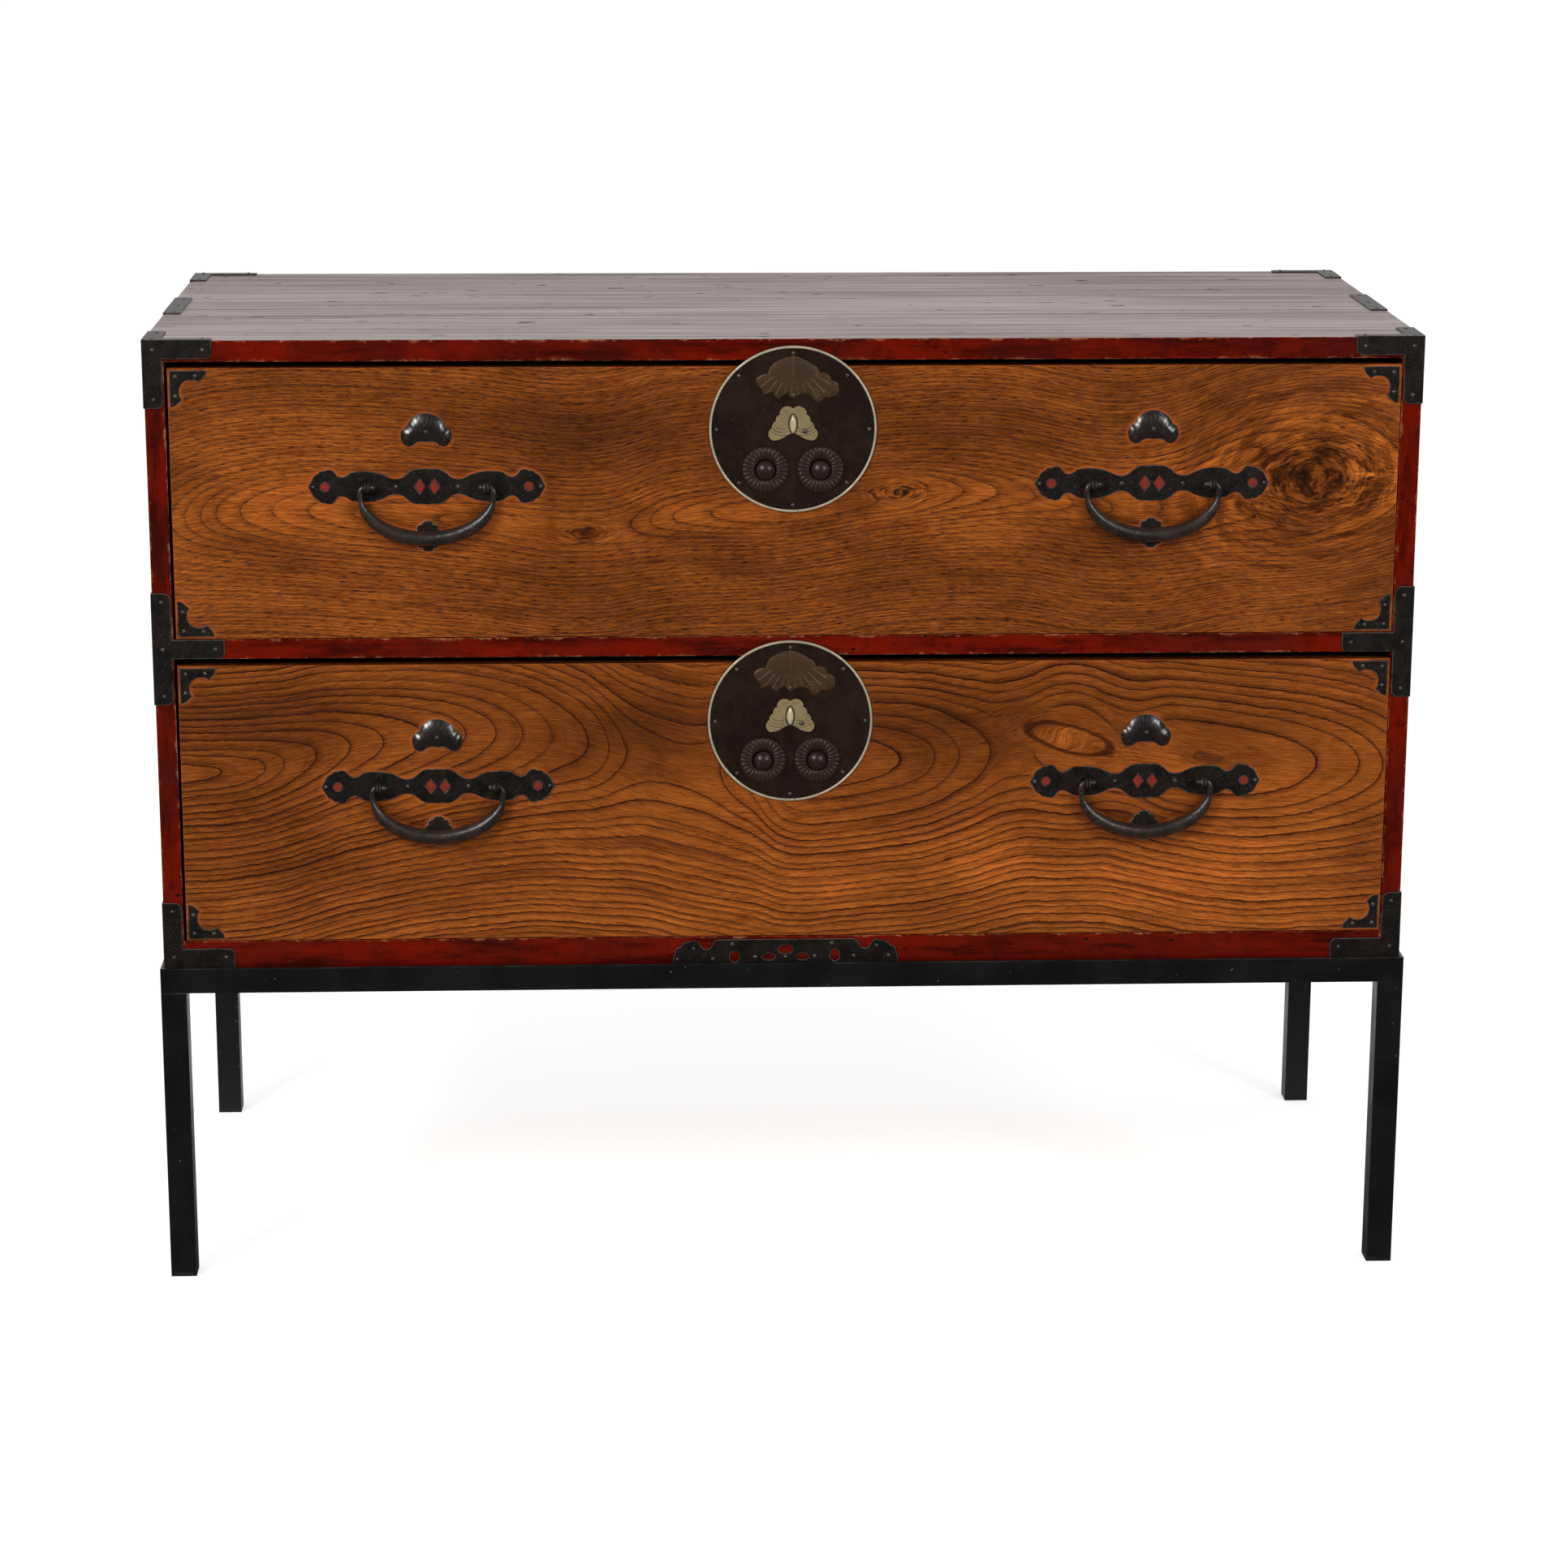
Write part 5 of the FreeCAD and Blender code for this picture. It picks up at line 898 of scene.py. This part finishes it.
def settle(piece):
    """Writes a piece's place, turn and scale into its mesh."""
    pick(piece)
    bpy.ops.object.transform_apply(location=True, rotation=True, scale=True)


def joined(name, pieces):
    """One piece from several, or one piece renamed."""
    pick(*pieces)
    if len(pieces) > 1:
        bpy.ops.object.join()
    piece = bpy.context.object
    piece.name = name
    piece.data.name = name
    return piece


def apply_all(piece):
    """Applies each modifier of a piece in turn."""
    pick(piece)
    for modifier in list(piece.modifiers):
        bpy.ops.object.modifier_apply(modifier=modifier.name)


def smooth(piece, degrees):
    """Smooth shading up to an angle."""
    pick(piece)
    bpy.ops.object.shade_smooth_by_angle(angle=math.radians(degrees))


def copied(piece, offset):
    """Copy of a piece with its own mesh, moved."""
    twin = piece.copy()
    twin.data = piece.data.copy()
    bpy.context.scene.collection.objects.link(twin)
    twin.location = Vector(offset)
    settle(twin)
    return twin


def finish_piece(name, pieces, material, body, slot, *replaced):
    """One named piece with its material, body and the nodes that it stands for; its record slot is
    not used.
    """
    piece = joined(name, pieces)
    piece.data.materials.clear()
    piece.data.materials.append(material)
    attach(piece, body)
    if replaced:
        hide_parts(*replaced)


def dress(node_names, material):
    """Material on CAD nodes."""
    for name in node_names:
        for slot in nodes[name].material_slots:
            slot.material = material


def chamfer(node_names, width):
    """Rounded edges on CAD nodes, by live modifiers."""
    for name in node_names:
        weld = nodes[name].modifiers.new("Joined corners", "WELD")
        weld.merge_threshold = MERGE
        bevel = nodes[name].modifiers.new("Rounded edges", "BEVEL")
        bevel.width = width
        bevel.segments = 2
        bevel.limit_method = "ANGLE"
        bevel.angle_limit = math.radians(40)
        weighted = nodes[name].modifiers.new("Flat faces", "WEIGHTED_NORMAL")
        weighted.keep_sharp = False


def loose_copies(node_name):
    """The separate solids of a CAD node, as new merged meshes."""
    twin = nodes[node_name].copy()
    twin.data = nodes[node_name].data.copy()
    twin.parent = None
    for key in list(twin.keys()):
        del twin[key]
    bpy.context.scene.collection.objects.link(twin)
    pick(twin)
    bpy.ops.object.mode_set(mode="EDIT")
    bpy.ops.mesh.select_all(action="SELECT")
    bpy.ops.mesh.remove_doubles(threshold=MERGE)
    bpy.ops.mesh.separate(type="LOOSE")
    bpy.ops.object.mode_set(mode="OBJECT")
    return list(bpy.context.selected_objects)


def dome(piece, back, edge, height, reach, grain):
    """Swells the front of a flat piece from its outline inwards.

    Edge and height are measured from the back, and grain is the size of the new faces.
    """
    remesh = piece.modifiers.new("Even faces", "REMESH")
    remesh.mode = "VOXEL"
    remesh.voxel_size = grain
    apply_all(piece)
    middle = sum((Vector(corner) for corner in piece.bound_box), Vector()) / 8
    outline = [vertex.co for vertex in piece.data.vertices if abs(vertex.normal.y) < UPRIGHT
               and math.hypot(vertex.co.x - middle.x, vertex.co.z - middle.z) > HOLE_REACH]
    nearest = KDTree(len(outline))
    for index, spot in enumerate(outline):
        nearest.insert((spot.x, 0, spot.z), index)
    nearest.balance()
    for vertex in piece.data.vertices:
        above = back - vertex.co.y
        if above < 0.25 * edge:
            continue
        inside = nearest.find((vertex.co.x, 0, vertex.co.z))[2]
        rise = 1 - (1 - min(inside / reach, 1.0)) ** 2
        wanted = edge + (height - edge) * rise
        vertex.co.y = back - (min(above, wanted) if inside < grain else wanted)
    even = piece.modifiers.new("Even surface", "SMOOTH")
    even.factor = 0.5
    even.iterations = 3
    apply_all(piece)
    smooth(piece, 60.0)


def both(*endings):
    """Node names of both drawers."""
    return [f"{drawer}_{ending}" for drawer in DRAWERS for ending in endings]


# ---------------- pieces

def petal_ring(sizes):
    """Rosette at the origin, facing -Y: its ribbed petals, and a rounded ring under them."""
    pick_none()
    inner, outer = sizes.petal_inner, sizes.petal_outer
    middle, band = (inner + outer) / 2, outer - inner
    width = 2 * math.pi * middle / sizes.petals
    bpy.ops.mesh.primitive_uv_sphere_add(segments=16, ring_count=10, radius=1.0, location=(0, 0, 0))
    petal = bpy.context.object
    petal.scale = (band / 2, sizes.petal_height, width * 0.66)
    petal.location = (middle, -sizes.rosette_base, 0)
    settle(petal)
    for vertex in petal.data.vertices:
        reach = (vertex.co.x - inner) / band
        vertex.co.z *= 0.62 + 0.76 * reach
        vertex.co.y = min(vertex.co.y, -0.3 * MM)
    bpy.ops.object.mode_set(mode="EDIT")
    bpy.ops.mesh.select_all(action="SELECT")
    bpy.ops.mesh.spin(steps=sizes.petals - 1, dupli=True, center=(0, 0, 0), axis=(0, 1, 0),
                      angle=2 * math.pi * (sizes.petals - 1) / sizes.petals)
    bpy.ops.mesh.select_all(action="SELECT")
    bpy.ops.mesh.remove_doubles(threshold=0.1 * MERGE)
    bpy.ops.mesh.normals_make_consistent(inside=False)
    pick_none()
    bpy.ops.mesh.primitive_torus_add(
        location=(0, 0, 0), rotation=(math.pi / 2, 0, 0), major_segments=96, minor_segments=20,
        major_radius=middle, minor_radius=band / 2 - 0.2 * MM)
    base = bpy.context.object
    base.scale = (1, 1, 2 * (sizes.rosette_base + 1.2 * MM) / band)
    settle(base)
    for vertex in base.data.vertices:
        vertex.co.y = min(vertex.co.y, 0.0)
    return petal, base


def spindle(sizes, right, up):
    """Butterfly's body: a round spindle on the wings, wider in its middle."""
    pick_none()
    bpy.ops.mesh.primitive_uv_sphere_add(segments=32, ring_count=24, radius=1.0, location=(0, 0, 0))
    body = bpy.context.object
    body.scale = (sizes.body_width / 2, sizes.body_height, sizes.body_length / 2)
    body.location = (right, LOCK_Y - WING_SHEET * MM, up)
    settle(body)
    for vertex in body.data.vertices:
        along = (vertex.co.z - up) / (sizes.body_length / 2)
        vertex.co.x = right + (vertex.co.x - right) * (1.0 - 0.3 * along ** 2)
        vertex.co.y = min(vertex.co.y, LOCK_Y - WING_SHEET / 2 * MM)
    return body


def draw_down(piece, fill):
    """Draws a boss's middle down, so that the notch in its lower edge is shallow."""
    low, high = Vector(piece.bound_box[0]), Vector(piece.bound_box[6])
    middle = (low.x + high.x) / 2
    for vertex in piece.data.vertices:
        beside = min(1.0, abs(vertex.co.x - middle) / (BOSS_HALF_WIDTH * MM))
        above = (vertex.co.z - low.z) / (high.z - low.z)
        vertex.co.z += BOSS_TALLER * MM * above - fill * (1 - above) * (1 - beside ** 2)


def red_chip(right, up, corners, half_width, half_height):
    """Thin filling of one cut-out, with a soft rim; its places and sizes are in metres."""
    pick_none()
    bpy.ops.mesh.primitive_cylinder_add(
        vertices=corners, radius=1.0, depth=CUT_OUT_DEPTH * MM, rotation=(math.pi / 2, 0, 0),
        location=(right, FACE_Y - CUT_OUT_DEPTH / 2 * MM, up))
    chip = bpy.context.object
    chip.scale = (half_width, half_height, 1)
    settle(chip)
    bevel = chip.modifiers.new("Soft rim", "BEVEL")
    bevel.width = 0.25 * MM
    bevel.segments = 2
    apply_all(chip)
    return chip


class CHEST_OT_shader_groups(bpy.types.Operator):
    """Builds the shader groups that the finishes share"""

    bl_idname = "chest.shader_groups"
    bl_label = "Shared Shader Groups"

    def execute(self, context):
        for make in GROUP_MAKERS:
            make()
        return {"FINISHED"}


class CHEST_OT_fronts(bpy.types.Operator):
    """Gives both drawer fronts their zelkova"""

    bl_idname = "chest.fronts"
    bl_label = "Zelkova Fronts"

    def execute(self, context):
        wood = context.scene.chest_wood
        fine = zelkova("upper", wood, wood.fine_ring_width, line_share=0.6, pore_share=0.9,
                       contrast=1.7)
        broad = zelkova("lower", wood, wood.ring_width, line_share=1.0, pore_share=0.65,
                        contrast=1.2)
        dress(["upper_front"], fine)
        dress(["lower_front"], broad)
        return {"FINISHED"}


class CHEST_OT_case(bpy.types.Operator):
    """Lacquers the case and its rails, and finishes the bare boards"""

    bl_idname = "chest.case"
    bl_label = "Case and Boards"

    def execute(self, context):
        wood = context.scene.chest_wood
        rails = case_lacquer("rail_lacquer", wood, along=(8.0, 20.0, 55.0), smoky=0.35)
        sides = case_lacquer("side_lacquer", wood, along=(40.0, 14.0, 7.0), smoky=0.5)
        top = case_lacquer("top_lacquer", wood, along=(7.0, 20.0, 60.0), smoky=0.65)
        dress(["mid_rail", "base_rail"], rails)
        dress(["case_left_side", "case_right_side"], sides)
        dress(["case_top"], top)
        dress(["back_boards", "dust_board", "case_bottom", "cleats_and_stops"]
              + both("sides", "back", "bottom"), bare_boards(wood))
        return {"FINISHED"}


class CHEST_OT_ironwork(bpy.types.Operator):
    """Finishes the forged iron of the case and the drawers"""

    bl_idname = "chest.ironwork"
    bl_label = "Ironwork"

    def execute(self, context):
        metal = context.scene.chest_metal
        sheet = iron("sheet_iron", metal, metal.sheet, rough=0.44, wear=0.6, hammered=0.4,
                     brown=0.3, scale=60.0, spots=0.07, shine=0.26, edge=0.5)
        nail = iron("nail_iron", metal, metal.nail, rough=0.2, wear=0.5, hammered=0.03,
                    brown=0.2, shine=1.0)
        bail = iron("bail_iron", metal, metal.iron, rough=0.34, wear=0.6, hammered=0.6,
                    brown=0.9, scale=60.0, spots=0.1, shine=1.0)
        works = iron("lock_works_iron", metal, metal.iron, rough=0.45, wear=0.4, hammered=0.1)
        plates = ["top_corner_caps", "edge_straps", "tee_plates", "base_corner_plates",
                  "base_centre_plate"] + both("handle_plates", "corner_plates")
        dress(plates + both("handle_posts"), sheet)
        chamfer(plates, 0.4 * MM)
        dress(["case_nails"] + both("nails"), nail)
        dress(both("bail_left", "bail_right"), bail)
        dress(both("lock_case", "lock_bolt"), works)
        return {"FINISHED"}


class CHEST_OT_bosses(bpy.types.Operator):
    """Models the swelled bosses above the handles, with the striker plates below them"""

    bl_idname = "chest.bosses"
    bl_label = "Bosses and Strikers"

    def execute(self, context):
        sizes, metal = context.scene.chest_ornament, context.scene.chest_metal
        for drawer in DRAWERS:
            material = iron(f"{drawer}_boss_iron", metal, metal.iron, rough=0.27, wear=0.6,
                            hammered=0.2, engraving=boss_rays(drawer), spots=0.03, shine=1.0)
            pieces = loose_copies(f"{drawer}_bail_guards")
            for piece in pieces:
                if piece.bound_box[0][2] > HANDLES[drawer][0][1] * MM:
                    dome(piece, FACE_Y, sizes.boss_edge, sizes.boss_height, sizes.boss_reach,
                         BOSS_GRAIN * MM)
                    draw_down(piece, sizes.notch_fill)
            finish_piece(f"{drawer}_domed_guards", pieces, material, f"{drawer}_drawer",
                         "forged_iron", f"{drawer}_bail_guards")
        return {"FINISHED"}


class CHEST_OT_leaves(bpy.types.Operator):
    """Models the embossed leaf at the top of each lock plate"""

    bl_idname = "chest.leaves"
    bl_label = "Leaves"

    def execute(self, context):
        sizes, metal = context.scene.chest_ornament, context.scene.chest_metal
        for drawer in DRAWERS:
            material = brass(f"{drawer}_leaf_bronze", metal.bronze, metal.vein, 0.34, leaf_lines,
                             drawer)
            pieces = loose_copies(f"{drawer}_leaf_ornament")
            for piece in pieces:
                dome(piece, LOCK_Y, sizes.leaf_edge, sizes.leaf_height, sizes.leaf_reach,
                     LEAF_GRAIN * MM)
            finish_piece(f"{drawer}_embossed_leaf", pieces, material, f"{drawer}_drawer",
                         "leaf_bronze", f"{drawer}_leaf_ornament")
        return {"FINISHED"}


class CHEST_OT_locks(bpy.types.Operator):
    """Finishes the lock plates, rims, butterflies and buttons"""

    bl_idname = "chest.locks"
    bl_label = "Locks"

    def execute(self, context):
        metal = context.scene.chest_metal
        plate = iron("lock_plate_iron", metal, metal.lock_plate, rough=0.36, wear=0.2, hammered=0.1,
                     brown=0.4, scale=34.0, spots=0.02, shine=0.16)
        button = iron("button_iron", metal, metal.button, rough=0.36, wear=0.3, hammered=0.04,
                      brown=0.4, shine=0.6)
        dress(both("lock_plate"), plate)
        dress(both("lock_button", "release_button"), button)
        for drawer in DRAWERS:
            rim = brass(f"{drawer}_rim_brass", metal.brass, metal.groove, 0.3, rim_joint, drawer)
            cover = brass(f"{drawer}_cover_brass", metal.cover, metal.groove, 0.38, wing_lines,
                          drawer)
            dress([f"{drawer}_lock_rim"], rim)
            dress([f"{drawer}_keyhole_cover"], cover)
        return {"FINISHED"}


class CHEST_OT_rosettes(bpy.types.Operator):
    """Models a petalled rosette and sets one around each button"""

    bl_idname = "chest.rosettes"
    bl_label = "Rosettes"

    def execute(self, context):
        sizes, metal = context.scene.chest_ornament, context.scene.chest_metal
        material = iron("rosette_iron", metal, metal.rosette, rough=0.36, wear=0.2, hammered=0.04,
                        brown=0.6, spots=0.0, shine=0.38)
        master = joined("rosette", petal_ring(sizes))
        smooth(master, 50.0)
        for drawer in DRAWERS:
            right, up = LOCKS[drawer]
            places = [(right + side * ROSETTE_OUT, up - ROSETTE_FALL) for side in (-1, 1)]
            twins = [copied(master, (x * MM, LOCK_Y, z * MM)) for x, z in places]
            finish_piece(f"{drawer}_petal_rosettes", twins, material, f"{drawer}_drawer",
                         "lock_iron", f"{drawer}_rosettes")
        bpy.data.objects.remove(master)
        return {"FINISHED"}


class CHEST_OT_butterfly_bodies(bpy.types.Operator):
    """Models the spindle body of each butterfly"""

    bl_idname = "chest.butterfly_bodies"
    bl_label = "Butterfly Bodies"

    def execute(self, context):
        metal = context.scene.chest_metal
        polished = brass("body_brass", metal.body, metal.groove, 0.2, body_bands, "upper", wear=0.9)
        for drawer in DRAWERS:
            right, up = LOCKS[drawer]
            body = spindle(context.scene.chest_ornament, right * MM, (up + BUTTERFLY_RISE) * MM)
            smooth(body, 60.0)
            finish_piece(f"{drawer}_butterfly_body", [body], polished, f"{drawer}_cover",
                         "cover_brass")
        return {"FINISHED"}


class CHEST_OT_cutout_lacquer(bpy.types.Operator):
    """Red lacquer that shows through the cut-outs of the handle plates"""

    bl_idname = "chest.cutout_lacquer"
    bl_label = "Cut-Out Lacquer"

    def execute(self, context):
        gap = context.scene.chest_ornament.cutout_gap
        material = cut_out_red(context.scene.chest_wood)
        for drawer in DRAWERS:
            chips = [red_chip((right + out) * MM, up * MM, corners, half_width * MM - gap,
                              half_height * MM - gap)
                     for right, up in HANDLES[drawer]
                     for out, corners, half_width, half_height in CUT_OUTS]
            finish_piece(f"{drawer}_cutout_lacquer", chips, material, f"{drawer}_drawer",
                         "red_lacquer")
        return {"FINISHED"}


class CHEST_OT_stand(bpy.types.Operator):
    """Paints the steel stand"""

    bl_idname = "chest.stand"
    bl_label = "Steel Stand"

    def execute(self, context):
        parts = ["stand_legs", "stand_feet", "stand_cradle"]
        dress(parts, stand_paint(context.scene.chest_metal))
        return {"FINISHED"}


# ---------------- stage

CAMERA_PLACE = (-0.16287, -3.98186, 1.45365)
CAMERA_AHEAD = (0.04085, 0.96793, -0.24786)
CAMERA_TILT = 0.0026
LENS_PIXELS = 4898.17
IMAGE_HEIGHT = 1932
SENSOR = 36.0
SOFTBOX_SIZE = 0.8
LIT_POINT = (0, 0, 0.6)
FLOOR_SIZE = 60


def lamp(name, place, power):
    """Softbox that faces the middle of the chest."""
    light = bpy.data.lights.new(name, "AREA")
    light.shape = "SQUARE"
    light.size = SOFTBOX_SIZE
    light.energy = power
    holder = bpy.data.objects.new(name, light)
    holder.location = place
    holder.rotation_euler = (Vector(LIT_POINT) - Vector(place)).to_track_quat("-Z", "Y").to_euler()
    bpy.context.scene.collection.objects.link(holder)


def make_camera():
    """Camera at the height of a standing viewer."""
    data = bpy.data.cameras.new("camera")
    data.sensor_width = SENSOR
    data.lens = LENS_PIXELS * SENSOR / IMAGE_HEIGHT
    data.clip_start, data.clip_end = 0.05, 100.0
    camera = bpy.data.objects.new("camera", data)
    ahead = Vector(CAMERA_AHEAD).normalized()
    level = ahead.cross(Vector((0, 0, 1))).normalized()
    raised = level.cross(ahead)
    right = math.cos(CAMERA_TILT) * level + math.sin(CAMERA_TILT) * raised
    up = math.cos(CAMERA_TILT) * raised - math.sin(CAMERA_TILT) * level
    turn = Matrix((right, up, -ahead)).transposed()
    camera.matrix_world = Matrix.Translation(CAMERA_PLACE) @ turn.to_4x4()
    bpy.context.scene.collection.objects.link(camera)
    bpy.context.scene.camera = camera


class CHEST_OT_stage(bpy.types.Operator):
    """White floor and surround, two softboxes and the camera"""

    bl_idname = "chest.stage"
    bl_label = "Stage"

    def execute(self, context):
        scene = context.scene
        scene.view_settings.view_transform = "Standard"
        world = bpy.data.worlds.new("studio")
        world.use_nodes = True
        net = Net(world.node_tree)
        ray = net.named(net.add("LightPath"))
        away = net.part(net.value("TexCoord", output="Generated"), "Y")
        mirrored = net.steps(away, -0.1, 0.6, 0.03, 1.0)
        plain = net.blend(ray["Is Glossy Ray"], 0.5, mirrored)
        seen = net.most(ray["Is Camera Ray"], ray["Is Transmission Ray"])
        strength = net.blend(seen, plain, 1.0)
        sky = net.value("Background", {"Color": (1, 1, 1, 1), "Strength": strength})
        net.add("OutputWorld", {0: sky})
        scene.world = world

        pick_none()
        bpy.ops.mesh.primitive_plane_add(size=FLOOR_SIZE, location=(0, 0, 0))
        floor = bpy.context.object
        floor.name = "floor"
        made, net = new_material("white_floor")
        ray = net.named(net.add("LightPath"))
        behind = net.steps(net.part(net.point(), "Y"), -0.5, 1.0, 0.012, 1.0)
        paper = net.value("BsdfDiffuse", {"Color": (0.8, 0.8, 0.8, 1)})
        glow = net.value("Emission", {"Strength": ray["Is Camera Ray"] * 0.66})
        lit = net.value("AddShader", {0: paper, 1: glow})
        mirrored = net.value("Emission", {"Strength": behind})
        mixed = net.value("MixShader", {0: ray["Is Glossy Ray"], 1: lit, 2: mirrored})
        net.add("OutputMaterial", {0: mixed})
        floor.data.materials.append(made)
        lamp("left_softbox", (-2.3, -2.9, 2.5), 64.0)
        lamp("right_softbox", (2.5, -2.9, 2.0), 36.0)
        make_camera()
        return {"FINISHED"}


OPERATORS = (CHEST_OT_shader_groups, CHEST_OT_stage, CHEST_OT_fronts, CHEST_OT_case,
             CHEST_OT_ironwork, CHEST_OT_bosses, CHEST_OT_locks, CHEST_OT_leaves, CHEST_OT_rosettes,
             CHEST_OT_butterfly_bodies, CHEST_OT_cutout_lacquer, CHEST_OT_stand)
SETTINGS = (("chest_wood", WoodFinish), ("chest_metal", MetalFinish),
            ("chest_ornament", OrnamentSizes))


class CHEST_PT_build(bpy.types.Panel):
    """Lists the chest's pieces and finishes"""

    bl_idname = "CHEST_PT_build"
    bl_label = "Lacquered Chest"
    bl_space_type = "VIEW_3D"
    bl_region_type = "UI"
    bl_category = "Chest"

    def draw(self, context):
        column = self.layout.column(align=True)
        for kind in OPERATORS:
            column.operator(kind.bl_idname)
        for title, group in SETTINGS:
            values = getattr(context.scene, title)
            box = self.layout.box()
            for key in group.__annotations__:
                box.prop(values, key)


CLASSES = (WoodFinish, MetalFinish, OrnamentSizes) + OPERATORS + (CHEST_PT_build,)


def register():
    """Adds the classes and their settings to Blender."""
    for kind in CLASSES:
        bpy.utils.register_class(kind)
    for title, group in SETTINGS:
        setattr(bpy.types.Scene, title, PointerProperty(type=group))


def unregister():
    """Takes the settings and classes out again."""
    for title, _ in SETTINGS:
        delattr(bpy.types.Scene, title)
    for kind in reversed(CLASSES):
        bpy.utils.unregister_class(kind)


def main():
    register()
    for kind in OPERATORS:
        family, name = kind.bl_idname.split(".")
        getattr(getattr(bpy.ops, family), name)()


if __name__ == "__main__":
    main()
